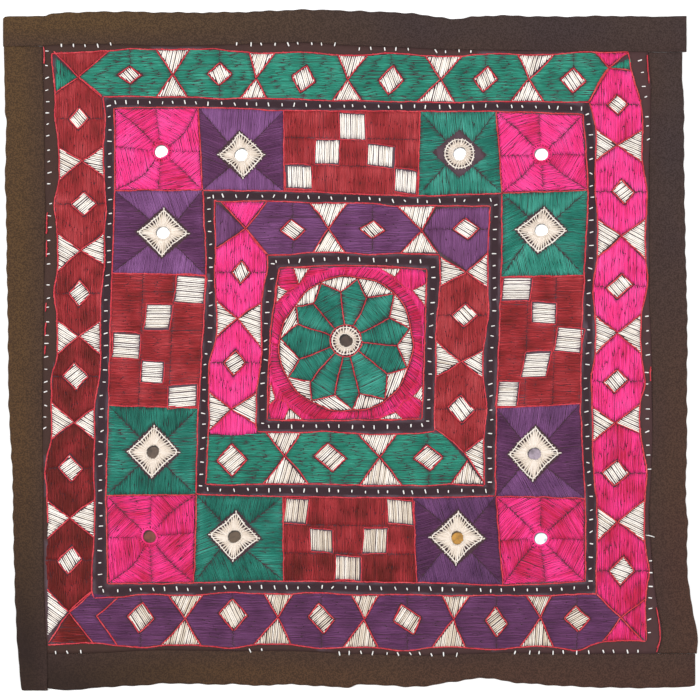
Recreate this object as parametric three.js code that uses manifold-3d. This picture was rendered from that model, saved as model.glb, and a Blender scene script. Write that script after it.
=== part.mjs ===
// An embroidered tablecloth with small mirrors, lying flat.
// Millimetres, +Z up, X to the right and Y to the top edge of the cloth as it lies.
// The origin is under the middle of the cloth, on the surface that it lies on.

import * as THREE from 'three';
import { mergeVertices } from 'three/addons/utils/BufferGeometryUtils.js';
import Module from 'manifold-3d';

const wasm = await Module();
wasm.setup();

// Thicknesses and gaps
const GROUND = 1.0;              // dark ground cloth of the centre panel
const FIELD_HEIGHT = 0.8;        // stitched fields above the ground cloth
const FIELD_ROOT = 0.3;          // how far a field's solid reaches down into the ground cloth
const STRIP = 1.6;               // border cloth, folded double
const PIECE_GAP = 0.3;           // between neighbouring pieces
const GROOVE = 0.6;              // half the groove between two stitched fields
const DIAMOND_RIM = 1.6;         // outlined rim round a small diamond, sunk below the fields

// Mirrors and the stitched rings that hold them
const MIRROR_RADIUS = 7;
const MIRROR_THICKNESS = 0.8;
const MIRROR_SIDES = 20;
const RING_LIP = 1.0;            // how far the ring reaches over the mirror's rim
const RING_WIDTH = 3.2;          // ring outside the mirror's pocket
const RING_CAP = 0.5;            // thickness of the lip
const RING_SIDES = 14;
const POCKET_RADIUS = MIRROR_RADIUS + PIECE_GAP;
const RING_RADIUS = POCKET_RADIUS + RING_WIDTH;
const FIELD_HOLE = POCKET_RADIUS + RING_WIDTH / 2;

// Centre flower
const FLOWER = new THREE.Vector2(-3.5, 7.5);
const PETALS = 11;
const PETAL_TURN = 108;          // direction of the first petal's tip, in degrees
const PETAL_TIP = 56;
const PETAL_VALLEY = 44;
const PETAL_START = RING_RADIUS + GROOVE;
const CIRCLE_CENTRE = new THREE.Vector2(-4, 5);
const CIRCLE_RADIUS = 59;
const CIRCLE_POINTS = 33;

// Border strips: each row is a place along the strip, then its seam and its outer edge there
const STRIPS = {
  top: { along: 'x', rows: [
    [-299.5, 262, 286.5], [-296, 262, 288.2], [-265, 262.4, 288.6], [-254, 263.5, 291], [-205, 264, 292.4],
    [-150, 262.5, 291.6], [-95, 264, 292], [-40, 265.5, 294], [0, 263, 293], [50, 261, 291], [80, 259.5, 287],
    [92, 259.4, 286], [105, 259, 287.7], [130, 258.7, 289], [175, 258, 288], [225, 257.7, 288.6],
    [262, 257.3, 288], [290.5, 257.3, 288.6],
  ] },
  right: { along: 'y', rows: [
    [257, 257.5, 287], [230, 260, 287], [218, 259.7, 288.4], [170, 258.7, 288.5], [135, 258.3, 289],
    [80, 258.3, 290], [45, 258.3, 291], [10, 260, 291.4], [-30, 261, 291], [-80, 261, 291], [-125, 259, 290],
    [-150, 258.5, 291.7], [-180, 261, 291], [-200, 262.5, 292.5], [-222, 266, 295.5], [-240, 269.5, 299.3],
    [-250, 269, 300.5], [-262, 266, 299.5],
  ] },
  bottom: { along: 'x', rows: [
    [-260.6, -262, -292.3], [-243, -262.3, -294], [-215, -261.5, -291.5], [-180, -259.5, -289.7],
    [-155, -259, -288], [-120, -259.7, -289], [-100, -260, -288.5], [-85, -260, -290], [-50, -259.8, -289],
    [-5, -262, -291.5], [12, -262.5, -289], [57, -263.8, -291], [80, -263.2, -288], [108, -262.2, -284],
    [120, -261.7, -283.5], [140, -261.5, -287], [165, -262, -289], [200, -262.5, -291], [248, -262.3, -292],
    [294, -262.3, -290.8], [298, -262.3, -288.5],
  ] },
  left: { along: 'y', rows: [
    [261.7, -266, -299], [210, -264.3, -298], [195, -264, -297], [145, -263.5, -298], [120, -263, -297],
    [70, -264, -296.5], [20, -264.6, -295.5], [-40, -265.6, -295], [-75, -265.4, -293.5],
    [-110, -265, -291.5], [-150, -265, -291], [-190, -264.7, -290], [-235, -263.4, -288.5],
    [-262, -261, -286.7], [-292, -261, -284], [-294, -261, -282],
  ] },
};

// Corners of the panel, where two seams meet, and how near to one of them a seam's points may lie
const PANEL_CORNERS = [[-265.9, 262.2], [257.5, 257.4], [266, -262.2], [-261, -262]];
const CORNER_CLEARANCE = 4;

// Bands of long lozenges, the outer frame's four and then the inner one's: top, left, right and bottom.
// A crossing is where two lozenges meet point to point, with a triangle on each side.
// Crossing: along, across, then the outer triangle's base (from, to, across) and the inner one's.
// Diamond: x, y, half width, half height, lean of its height, drop of its width, outer and inner line there.
const BANDS = [
  { along: 'x', crossings: [
    [-234.5, 235.5, -256, -208, 258, -214, -214, 219], [-153, 237.5, -167, -139, 259.5, -167, -140.5, 218.5],
    [-81, 234.5, -87, -65, 256.5, -95, -71.5, 217], [-2, 233.5, -10.5, 15, 254.5, -15, 11, 215],
    [78.3, 233.5, 65, 97, 254, 58, 90.5, 214], [154.5, 234, 145, 176, 255, 139, 167, 214.5],
    [223.5, 243.5, 211.5, 240, 257, 206, 206, 214.5],
  ], diamonds: [
    [-190, 237.3, 10.8, 7.8, -0.5, 0, 260, 219], [-112.5, 238.3, 10.7, 10, 0.5, 0.5, 259.4, 217],
    [-40, 234, 10.3, 12.2, 2.7, 2.7, 257, 216.5], [35.5, 233, 11, 13, 2, 0, 256, 214],
    [117, 233.8, 10.5, 11.5, 2, 0.5, 256, 214.5], [192.8, 232.8, 11.2, 11.5, 0.3, 1, 257, 213.7],
  ] },
  { along: 'y', crossings: [
    [235.5, -234.5, 254, 221.5, -254.5, 218, 218, -214], [163, -231.2, 175, 146, -251.5, 176.5, 150, -212.5],
    [86, -232.5, 100.5, 68, -252.5, 101.5, 73.5, -212], [12, -234, 25.5, -4, -253, 25, -4, -215.5],
    [-62.5, -238.3, -45, -77.5, -258, -50, -77.5, -220.5],
    [-145, -242, -130, -163, -261.5, -129, -162, -220.5],
    [-226, -243, -206, -248, -261.5, -208, -208, -222.5],
  ], diamonds: [
    [-234.3, 199.8, 8.9, 9.8, 0.3, -0.5, -254.5, -211.5], [-229.7, 126.2, 11.4, 10.7, 0, -0.5, -255, -211],
    [-233.7, 49, 9.6, 11.8, 0.5, 0, -255.5, -214.7], [-237, -22.7, 11.5, 12.2, -0.7, 0, -257.5, -216.5],
    [-241.3, -102, 11, 12, -0.5, 0.5, -263, -221.5], [-242, -181.5, 11, 12.7, 1.7, -1, -263.2, -222.5],
  ] },
  { along: 'y', crossings: [
    [243.5, 223.5, 254.5, 241, 243, 214, 214, 207], [177, 230.5, 190, 162, 252.5, 191, 163, 212],
    [98.5, 234, 113, 78, 255.3, 113, 80, 213.5], [15, 230.7, 31, -3, 251.5, 30.5, -4, 211.5],
    [-63, 229, -46.5, -72, 250.5, -49.5, -79, 209.5], [-148.3, 231, -129, -165.5, 254.5, -136, -165, 213.5],
    [-231, 234, -215, -249.5, 255, -211, -211, 213],
  ], diamonds: [
    [231, 211.8, 9.3, 8.8, -0.7, -0.5, 251.5, 207.5], [235.8, 136.7, 10, 11, -1.3, 0, 256.5, 212],
    [232.7, 55, 12, 11.3, 2.2, -1.2, 256.5, 210], [229.5, -27, 11, 10.5, 1.2, -1, 254.5, 208],
    [229.3, -106.3, 12.3, 11.5, 1.2, 0.2, 256, 210.5], [234.7, -190.7, 11.5, 13.2, 1.5, 0, 258, 212.5],
  ] },
  { along: 'x', crossings: [
    [-242.5, -226.5, -260, -222, -253, -223, -223, -209], [-219, -229.5, -201, -201, -255, -201, -201, -214],
    [-142.5, -232, -163, -128.5, -255, -156.5, -127, -211.5],
    [-62.2, -231, -83, -51, -254.3, -74, -49, -210.5],
    [12.6, -232.7, -6.5, 24, -257, 1, 24.5, -211.5], [89.3, -232.7, 71, 100, -257, 79.5, 103.5, -212],
    [164.5, -231, 147, 175.5, -256.5, 152.5, 174.5, -212],
    [233.5, -231, 218.5, 253.5, -252, 213, 213, -210.7],
  ], diamonds: [
    null, [-180.7, -231, 12, 13.5, 1, 1, -256.8, -211], [-101, -228.3, 12.7, 14, -0.5, 1, -257.5, -209],
    [-24.8, -231.5, 11.5, 13.7, -2.2, 1.2, -258, -209.5], [49.5, -232.5, 12, 13.5, -5.5, -1.7, -260, -211],
    [126.3, -234.8, 10, 13.5, -0.5, 1.3, -258.5, -211.5], [196, -231.7, 11.5, 11.7, -1.2, 0, -259.2, -211],
  ] },
  { along: 'x', crossings: [
    [-90, 105, -112, -72, 128.5, -71.5, -71.5, 82.5], [-18.5, 105, -35, -2, 127, -32, -4, 84],
    [62, 103, 40.5, 73.5, 124.5, 43, 76, 83.5],
  ], diamonds: [
    [-49.5, 103.7, 11, 9.2, -1.7, -0.3, 128, 82.5], [19.5, 104, 11.3, 8, 0.3, 0.8, 126.5, 82],
  ] },
  { along: 'y', crossings: [
    [105, -90, 126, 87.5, -116, 82.5, 82.5, -72], [27, -97, 43, 11, -115.5, 41, 2, -76.5],
    [-51, -102.5, -36.5, -70, -122, -36.5, -64.5, -80.5],
  ], diamonds: [
    [-94, 67, 8.5, 10.5, 0.7, 0.5, -117, -72], [-99.7, -11, 9.8, 11.5, 1, 0, -121.5, -77],
  ] },
  { along: 'y', crossings: [
    [67, 100.3, 84, 54, 119, 80.5, 55, 78], [-10, 95.7, 0, -24, 115, 8, -23.5, 74],
    [-88.5, 99, -75.5, -109, 115.5, -68, -68, 73.5],
  ], diamonds: [
    [99, 30, 11.8, 10.5, 1, -0.3, 119.5, 75.5], [96, -51, 12, 12.7, -0.7, 1, 118, 73],
  ] },
  { along: 'x', crossings: [
    [-125, -95, -124.5, -124.5, -116, -124.5, -124.5, -74.5],
    [-56.5, -91.5, -75, -36, -115.7, -72.5, -42.5, -71],
    [25.5, -92.5, 8, 45, -117, 7, 40.5, -72.5], [100, -95, 87, 113, -116, 78, 78, -71.5],
  ], diamonds: [
    [-102, -95, 13.3, 14.3, -0.3, -0.8, -116.5, -74.5], [-17, -92.8, 14.2, 12.7, -2, 0.7, -116, -70.5],
    [67.5, -93, 13, 11.5, -1.5, -0.8, -117.5, -71],
  ] },
];

// Corner fields of the inner band, which no pair of crossings bounds
const INNER_CORNER = [[63, 103], [75, 123], [120, 124], [121, 86], [100.5, 68], [79.5, 82.5], [76.5, 84.5]];
const INNER_CORNER_DIAMOND = [100.5, 104.5, 12, 9.5, -1.7, -0.5];
const INNER_FOOT = [[-102.5, -53], [-119, -71], [-100, -72.5], [-81, -70.5], [-83, -66]];

// Ring of squares: corners of its outer and inner line, then the lines that part the squares.
// Divider: place along the side and across it at the outer line, then the same at the inner line.
const SQUARE_CORNERS = {
  outer: [[-203.5, 209], [201, 203.5], [203, -200], [-209, -202]],
  inner: [[-127, 137.5], [131, 135.5], [125.5, -126], [-133, -124.5]],
};
const DIVIDERS = {
  top: [
    [-131, 209.5, -127.5, 138], [-57, 207, -57, 137], [60.5, 206, 58.5, 133], [126, 206, 131.5, 135.5],
  ],
  right: [
    [138, 205.5, 135.5, 131.5], [64.5, 202, 63, 130.5], [-46, 199, -50, 126.5], [-128, 203, -126.5, 126],
  ],
  bottom: [
    [-134.5, -201, -132.5, -125], [-57, -199.5, -58, -126.5], [58, -201, 54, -127.5],
    [132, -203, 126, -126.5],
  ],
  left: [
    [137.5, -203, 138, -127.5], [66.5, -205.5, 64.5, -124.5], [-48, -208.5, -50, -131],
    [-125.5, -210.5, -125, -133],
  ],
};

// What each side holds between its dividers, in order, and the dividers on both sides of each corner square
const SIDES = ['top', 'right', 'bottom', 'left'];
const SQUARES = {
  top: ['purple', 'checker', 'green'],
  right: ['green', 'checker', 'purple'],
  bottom: ['green', 'checker', 'purple'],
  left: ['purple', 'checker', 'green'],
};
const CORNER_SQUARES = {
  top_left: [['left', 0], ['top', 0]],
  top_right: [['top', 3], ['right', 0]],
  bottom_right: [['right', 3], ['bottom', 3]],
  bottom_left: [['bottom', 0], ['left', 3]],
};

// Checkers between the mirror squares: cells along the side and across it
const CHECKER_ALONG = 5;
const CHECKER_ACROSS = 3;

// Mirrors, and the diamonds of buttonhole stitches round them as half width, half height, lean and drop
const MIRRORS = {
  mirror_centre: { at: [-3.5, 8] },
  mirror_corner_top_left: { at: [-163, 171.5] },
  mirror_corner_top_right: { at: [165, 169] },
  mirror_corner_bottom_right: { at: [164.5, -162.5] },
  mirror_corner_bottom_left: { at: [-173, -161] },
  mirror_top_purple: { at: [-94, 168.5], diamond: [19.7, 19.5, -1.5, 0] },
  mirror_top_green: { at: [94.5, 169.5], diamond: [23.2, 20.5, 0.3, 1.2], bare: true },
  mirror_right_green: { at: [165, 103.5], diamond: [21.3, 19.3, 2.7, 0.5] },
  mirror_right_purple: { at: [159, -89.5], diamond: [21.7, 23, 1.2, -0.5] },
  mirror_bottom_purple: { at: [92.5, -162], diamond: [23.2, 22.5, 1, 0.7] },
  mirror_bottom_green: { at: [-99.7, -161], diamond: [21.5, 21, 1.5, 1.7] },
  mirror_left_green: { at: [-170, -88], diamond: [22, 22.2, 1.2, 0.2] },
  mirror_left_purple: { at: [-161.5, 101.2], diamond: [22, 20.5, 1, 0.7] },
};

// Small triangles between the flower's circle and the corners of its square
const CORNER_TRIANGLES = [
  [[-48, 71], [-36.5, 71.5], [-47, 57.5]], [[-64, 55.5], [-55, 54], [-65.5, 41.5]],
  [[26, 70.5], [44, 70], [39, 63.5]], [[65, 57.5], [54, 50], [64.5, 38.5]],
  [[61.5, -31], [53, -39], [60, -44]], [[46, -59.5], [36, -54], [26, -60.5]],
  [[-42, -59.5], [-50, -50], [-57, -59.5]], [[-71, -47], [-66, -38], [-71, -28]],
];
const FLOWER_SQUARE = [[-62, 72.5], [66, 70], [62, -59.5], [-71, -60.5]];

const BORDER_MATERIAL = new THREE.MeshStandardMaterial({ color: 0x463a33, roughness: 0.95, metalness: 0 });
const PANEL_MATERIAL = new THREE.MeshStandardMaterial({ color: 0x9a3a52, roughness: 0.8, metalness: 0 });
const MIRROR_MATERIAL = new THREE.MeshStandardMaterial({ color: 0xdfe3e6, roughness: 0.05, metalness: 1 });

// Plane geometry helpers

const MITRE_LIMIT = 2;           // how far a sharp corner moves in, in insets

function sideAxis(side) {
  return side === 'top' || side === 'bottom' ? 'x' : 'y';
}

// A place given along and across a side, as x and y
function place(along, a, b) {
  return along === 'x' ? new THREE.Vector2(a, b) : new THREE.Vector2(b, a);
}

function vectors(pairs) {
  return pairs.map(([x, y]) => new THREE.Vector2(x, y));
}

function counterClockwise(points) {
  return THREE.ShapeUtils.area(points) < 0 ? points.slice().reverse() : points;
}

// The outline moved inwards by a distance
function inset(outline, distance) {
  const points = counterClockwise(outline);
  return points.map((point, i) => {
    const before = points[(i + points.length - 1) % points.length];
    const after = points[(i + 1) % points.length];
    const arriving = point.clone().sub(before).normalize();
    const leaving = after.clone().sub(point).normalize();
    const normal = new THREE.Vector2(-arriving.y - leaving.y, arriving.x + leaving.x);
    const spread = 1 + arriving.dot(leaving);
    return point.clone().addScaledVector(normal, distance * Math.min(1 / spread, MITRE_LIMIT));
  });
}

function diamondTips([x, y, halfWidth, halfHeight, lean, drop]) {
  return vectors([
    [x + lean, y + halfHeight], [x - halfWidth, y + drop],
    [x - lean, y - halfHeight], [x + halfWidth, y - drop],
  ]);
}

function polar(centre, radius, degrees) {
  const angle = THREE.MathUtils.degToRad(degrees);
  return new THREE.Vector2(centre.x + radius * Math.cos(angle), centre.y + radius * Math.sin(angle));
}

function circle(centre, radius, sides) {
  return Array.from({ length: sides }, (_, i) => polar(centre, radius, (360 * i) / sides));
}

// Solid helpers

function toSolid(geometry) {
  const bare = geometry.clone();
  bare.deleteAttribute('normal');
  bare.deleteAttribute('uv');
  const merged = mergeVertices(bare);
  return new wasm.Manifold(new wasm.Mesh({
    numProp: 3,
    vertProperties: new Float32Array(merged.attributes.position.array),
    triVerts: new Uint32Array(merged.index.array),
  }));
}

function toGeometry(solid) {
  const { vertProperties, triVerts } = solid.getMesh();
  const geometry = new THREE.BufferGeometry();
  geometry.setAttribute('position', new THREE.BufferAttribute(vertProperties, 3));
  geometry.setIndex(new THREE.BufferAttribute(triVerts, 1));
  geometry.computeVertexNormals();
  return geometry;
}

function plate(outline, bottom, top, holes = []) {
  const shape = new THREE.Shape(counterClockwise(outline));
  shape.holes = holes.map((hole) => new THREE.Path(counterClockwise(hole)));
  const geometry = new THREE.ExtrudeGeometry(shape, { depth: top - bottom, bevelEnabled: false });
  return geometry.translate(0, 0, bottom);
}

// One stitched field, standing on the ground cloth
function field(outline, holes = []) {
  return toSolid(plate(inset(outline, GROOVE), GROUND - FIELD_ROOT, GROUND + FIELD_HEIGHT, holes));
}

// Border strips

function stripEdges({ along, rows }) {
  const edge = (column) => new THREE.SplineCurve(rows.map((row) => place(along, row[0], row[column])));
  return { seam: edge(1).getPoints(rows.length - 1), outer: edge(2).getPoints(2 * (rows.length - 1)) };
}

const strips = {};
for (const [side, strip] of Object.entries(STRIPS)) {
  strips[side] = stripEdges(strip);
}

function stripOutline(side) {
  const { seam, outer } = strips[side];
  return counterClockwise([...seam, ...outer.slice().reverse()]);
}

// The panel's outline: its corners, with the seams' points between them
function panelOutline() {
  const corners = vectors(PANEL_CORNERS);
  const outline = SIDES.flatMap((side, i) => {
    const start = corners[i];
    const end = corners[(i + 1) % corners.length];
    const axis = sideAxis(side);
    const low = Math.min(start[axis], end[axis]) + CORNER_CLEARANCE;
    const high = Math.max(start[axis], end[axis]) - CORNER_CLEARANCE;
    const seam = strips[side].seam.filter((point) => point[axis] > low && point[axis] < high);
    return [start, ...seam.sort((a, b) => a.distanceTo(start) - b.distanceTo(start))];
  });
  return inset(outline, PIECE_GAP);
}

// Fields of the bands

function bandFields({ along, crossings, diamonds }) {
  const solids = [];
  crossings.forEach(([a, b, outerFrom, outerTo, outerAt, innerFrom, innerTo, innerAt]) => {
    const tip = place(along, a, b);
    for (const [from, to, across] of [[outerFrom, outerTo, outerAt], [innerFrom, innerTo, innerAt]]) {
      if (from !== to) {
        solids.push(field([tip, place(along, from, across), place(along, to, across)]));
      }
    }
  });
  diamonds.forEach((diamond, i) => {
    const [a, b, , outerTo, outerAt, , innerTo, innerAt] = crossings[i];
    const [c, d, outerFrom, , nextOuter, innerFrom, , nextInner] = crossings[i + 1];
    const outerEdge = [place(along, outerTo, outerAt), place(along, outerFrom, nextOuter)];
    const innerEdge = [place(along, innerFrom, nextInner), place(along, innerTo, innerAt)];
    const holes = [];
    if (diamond !== null) {
      const [x, y, , , , , outerLine, innerLine] = diamond;
      const middle = along === 'x' ? x : y;
      outerEdge.splice(1, 0, place(along, middle, outerLine));
      innerEdge.splice(1, 0, place(along, middle, innerLine));
      const tips = diamondTips(diamond);
      holes.push(tips);
      solids.push(field(inset(tips, DIAMOND_RIM - GROOVE)));
    }
    solids.push(field([place(along, a, b), ...outerEdge, place(along, c, d), ...innerEdge], holes));
  });
  return solids;
}

// Ring of squares: the corner squares, the mirror squares and the checkers

function dividerEnds(side, index) {
  const [outerAlong, outerAcross, innerAlong, innerAcross] = DIVIDERS[side][index];
  const axis = sideAxis(side);
  return [place(axis, outerAlong, outerAcross), place(axis, innerAlong, innerAcross)];
}

// The four corners of a side's square between two dividers: outer pair, then inner pair
function squareCorners(side, index) {
  const [outerA, innerA] = dividerEnds(side, index);
  const [outerB, innerB] = dividerEnds(side, index + 1);
  return [outerA, outerB, innerB, innerA];
}

// The corner square between the nearest dividers of two sides
function cornerSquare(name, index) {
  const outerCorner = new THREE.Vector2(...SQUARE_CORNERS.outer[index]);
  const innerCorner = new THREE.Vector2(...SQUARE_CORNERS.inner[index]);
  const [before, after] = CORNER_SQUARES[name].map(([side, divider]) => dividerEnds(side, divider)[0]);
  return [before, outerCorner, after, innerCorner];
}

function checkerFields([outerA, outerB, innerB, innerA]) {
  const at = (u, v) => {
    const outer = outerA.clone().lerp(outerB, u / CHECKER_ALONG);
    const inner = innerA.clone().lerp(innerB, u / CHECKER_ALONG);
    return outer.lerp(inner, v / CHECKER_ACROSS);
  };
  const cells = [];
  for (let u = 0; u < CHECKER_ALONG; u += 1) {
    for (let v = 0; v < CHECKER_ACROSS; v += 1) {
      cells.push(field([at(u, v), at(u + 1, v), at(u + 1, v + 1), at(u, v + 1)]));
    }
  }
  return cells;
}

function mirrorPlace(name) {
  return new THREE.Vector2(...MIRRORS[name].at);
}

function mirrorHole(name) {
  return circle(mirrorPlace(name), FIELD_HOLE, RING_SIDES);
}

function mirrorSquareFields(name, corners) {
  const { at, diamond, bare } = MIRRORS[name];
  const tips = diamondTips([...at, ...diamond]);
  const surround = field(corners, [tips]);
  return bare ? [surround] : [surround, field(tips, [mirrorHole(name)])];
}

function squareFields() {
  const solids = Object.keys(CORNER_SQUARES).map((name, i) => (
    field(cornerSquare(name, i), [mirrorHole(`mirror_corner_${name}`)])
  ));
  for (const side of SIDES) {
    SQUARES[side].forEach((kind, i) => {
      const corners = squareCorners(side, i);
      const name = `mirror_${side}_${kind}`;
      solids.push(...(kind === 'checker' ? checkerFields(corners) : mirrorSquareFields(name, corners)));
    });
  }
  return solids;
}

// Centre flower: petals, the scallops between their tips, the ring and its corner triangles

function flowerFields() {
  const pitch = 360 / PETALS;
  const tip = (i) => polar(FLOWER, PETAL_TIP, PETAL_TURN - i * pitch);
  const valley = (i) => polar(FLOWER, PETAL_VALLEY, PETAL_TURN - (i + 0.5) * pitch);
  const root = (i) => polar(FLOWER, PETAL_START, PETAL_TURN - (i + 0.5) * pitch);
  const solids = [];
  for (let i = 0; i < PETALS; i += 1) {
    solids.push(field([root(i - 1), valley(i - 1), tip(i), valley(i), root(i)]));
    solids.push(field([tip(i), valley(i), tip(i + 1)]));
  }
  const ringHole = circle(CIRCLE_CENTRE, CIRCLE_RADIUS, CIRCLE_POINTS);
  let ring = field(vectors(FLOWER_SQUARE), [ringHole]);
  for (const corners of CORNER_TRIANGLES.map(vectors)) {
    const rim = plate(inset(corners, GROOVE), GROUND, GROUND + 2 * FIELD_HEIGHT);
    ring = ring.subtract(toSolid(rim));
    solids.push(field(inset(corners, DIAMOND_RIM - GROOVE)));
  }
  solids.push(ring);
  return solids;
}

// Stitched ring that holds a mirror: a collar round its pocket with a lip over its rim

function mirrorRing(name) {
  const lipBottom = GROUND + MIRROR_THICKNESS + 2 * PIECE_GAP;
  const top = lipBottom + RING_CAP;
  const root = GROUND - FIELD_ROOT;
  const lip = MIRROR_RADIUS - RING_LIP;
  const profile = vectors([
    [POCKET_RADIUS, root], [RING_RADIUS, root], [RING_RADIUS, GROUND + FIELD_HEIGHT],
    [RING_RADIUS - RING_WIDTH / 2, top], [lip, top], [lip, lipBottom],
    [POCKET_RADIUS, lipBottom], [POCKET_RADIUS, root],
  ]);
  const geometry = new THREE.LatheGeometry(profile, RING_SIDES);
  const centre = mirrorPlace(name);
  geometry.rotateX(Math.PI / 2);
  geometry.translate(centre.x, centre.y, 0);
  return toSolid(geometry);
}

// Pieces

const cloth = new THREE.Group();

function addPiece(name, geometry, material) {
  const mesh = new THREE.Mesh(geometry, material);
  mesh.name = name;
  cloth.add(mesh);
  return mesh;
}

function addPanel() {
  const raised = [
    ...BANDS.flatMap(bandFields),
    field(vectors(INNER_CORNER), [diamondTips(INNER_CORNER_DIAMOND)]),
    field(inset(diamondTips(INNER_CORNER_DIAMOND), DIAMOND_RIM - GROOVE)),
    field(vectors(INNER_FOOT)),
    ...squareFields(),
    ...flowerFields(),
    ...Object.keys(MIRRORS).map(mirrorRing),
  ];
  const ground = toSolid(plate(panelOutline(), 0, GROUND));
  const panel = raised.reduce((solid, part) => solid.add(part), ground);
  addPiece('centre_panel', toGeometry(panel), PANEL_MATERIAL);
}

function addStrips() {
  for (const side of SIDES) {
    addPiece(`border_${side}`, plate(stripOutline(side), 0, STRIP), BORDER_MATERIAL);
  }
}

function addMirrors() {
  for (const name of Object.keys(MIRRORS)) {
    const disc = new THREE.CylinderGeometry(MIRROR_RADIUS, MIRROR_RADIUS, MIRROR_THICKNESS, MIRROR_SIDES);
    disc.rotateX(Math.PI / 2);
    const mesh = addPiece(name, disc, MIRROR_MATERIAL);
    const centre = mirrorPlace(name);
    mesh.position.set(centre.x, centre.y, GROUND + PIECE_GAP + MIRROR_THICKNESS / 2);
  }
}

addPanel();
addStrips();
addMirrors();

export default cloth;
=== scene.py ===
# Looks of an embroidered tablecloth: border strips, ground cloth, every stitch and the mirrors
import math

import bpy
import numpy as np
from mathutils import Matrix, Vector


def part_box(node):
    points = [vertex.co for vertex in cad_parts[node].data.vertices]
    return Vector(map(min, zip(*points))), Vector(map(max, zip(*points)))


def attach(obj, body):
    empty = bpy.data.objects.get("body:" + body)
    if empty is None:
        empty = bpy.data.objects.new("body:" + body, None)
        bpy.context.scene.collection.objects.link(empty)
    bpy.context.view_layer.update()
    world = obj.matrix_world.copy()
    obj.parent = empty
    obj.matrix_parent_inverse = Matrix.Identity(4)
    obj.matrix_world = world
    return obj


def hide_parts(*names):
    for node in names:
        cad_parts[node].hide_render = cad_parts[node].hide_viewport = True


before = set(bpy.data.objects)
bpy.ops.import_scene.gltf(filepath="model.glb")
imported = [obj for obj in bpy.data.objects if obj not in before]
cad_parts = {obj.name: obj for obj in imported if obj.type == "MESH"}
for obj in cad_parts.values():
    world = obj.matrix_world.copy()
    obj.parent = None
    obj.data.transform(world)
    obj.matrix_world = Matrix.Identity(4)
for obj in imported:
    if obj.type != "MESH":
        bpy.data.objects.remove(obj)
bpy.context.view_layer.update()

MM = 0.001  # the layout below is in millimetres
rng = np.random.default_rng(23)

# Heights above the table
GROUND = 1.0  # top of the ground cloth
STRIP = 1.6  # top of the border strips, folded double
FIELD_LIFT = 0.12  # underside of the threads of a stitched field above the ground cloth
LINE_LIFT = 0.35  # underside of the outline stitches above the ground cloth
TIP_SINK = 0.25  # how far the end of a stitch dips into the ground cloth
FURROW = 0.3  # depth of the furrow that the running stitches draw in

# Widths of the stitches
FLOSS = 0.88  # in the coloured fields
PINK_FLOSS = 0.8  # in the pink squares
WHITE_FLOSS = 1.4
PATCH_FLOSS = 1.3  # in the flower's corners
SHORT_SWELL = 0.87  # width of a short stitch as a share of the full width
OUTLINE = 1.25
RING_LINE = 1.35  # outlines of the frames
DIAMOND_LINE = 1.2
CELL_LINE = 0.95
PETAL_LINE = 0.95
RIM_LINE = 1.1  # round the flower and round its mirror
PATCH_LINE = 0.9
CORNER_LINE = 0.85  # from the patches to the flower's ring
STRAY_LINE = 1.2
LOOSE_LINE = 0.8
RUNNING = 1.3

# Thickness of the stitches
FIELD_RISE = 0.62
LINE_RISE = 0.7
RUNNING_RISE = 0.85
SPOKE_RISE = 0.6
RIM_RISE = 0.5

# How uneven the stitches are, as ranges and spreads
WIDTH_RANGE = (0.86, 1.12)
LIFT_RANGE = (-0.05, 0.08)
RISE_RANGE = (0.88, 1.12)
SECTION_RANGE = (0.9, 1.08)  # width from section to section
PITCH_RANGE = (0.86, 1.0)
GAP_RANGE = (0.5, 1.5)
BREAK_RANGE = (-0.35, 0.35)  # length at which a stitch is broken, as a share of the longest
BREAK_SHIFT = (-0.3, 0.3)  # place of the break
SEAM_STRAY = 0.25
END_STRAY = 0.22
SIDE_STRAY = 0.06
EVEN_GAPS = 0.2  # share of gaps past which they come at nearly even distances
SHEEN_PATCH_SCALE = 1.6  # how much closer the painted patches of sheen lie than the waves of the cloth

# Sections of a stitch
SHORTEST_STITCH = 0.6
SHORT_STITCH = 6  # length up to which it has two sections
SECTION_PITCH = 5.5
SECTIONS = (4, 9)  # fewest and most in a longer one
MIDDLE_SHADE = 0.5

# Outline stitches
STEM_ADVANCE = 2.1
STEM_REACH = 4.4
STEM_SLANT = 0.2
STEM_WAVER = 0.28
WAVER_PITCH = 7.0  # distance between the places where an outline strays to the other side
LINE_RANGE = (0.8, 1.15)  # width from stitch to stitch

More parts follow.
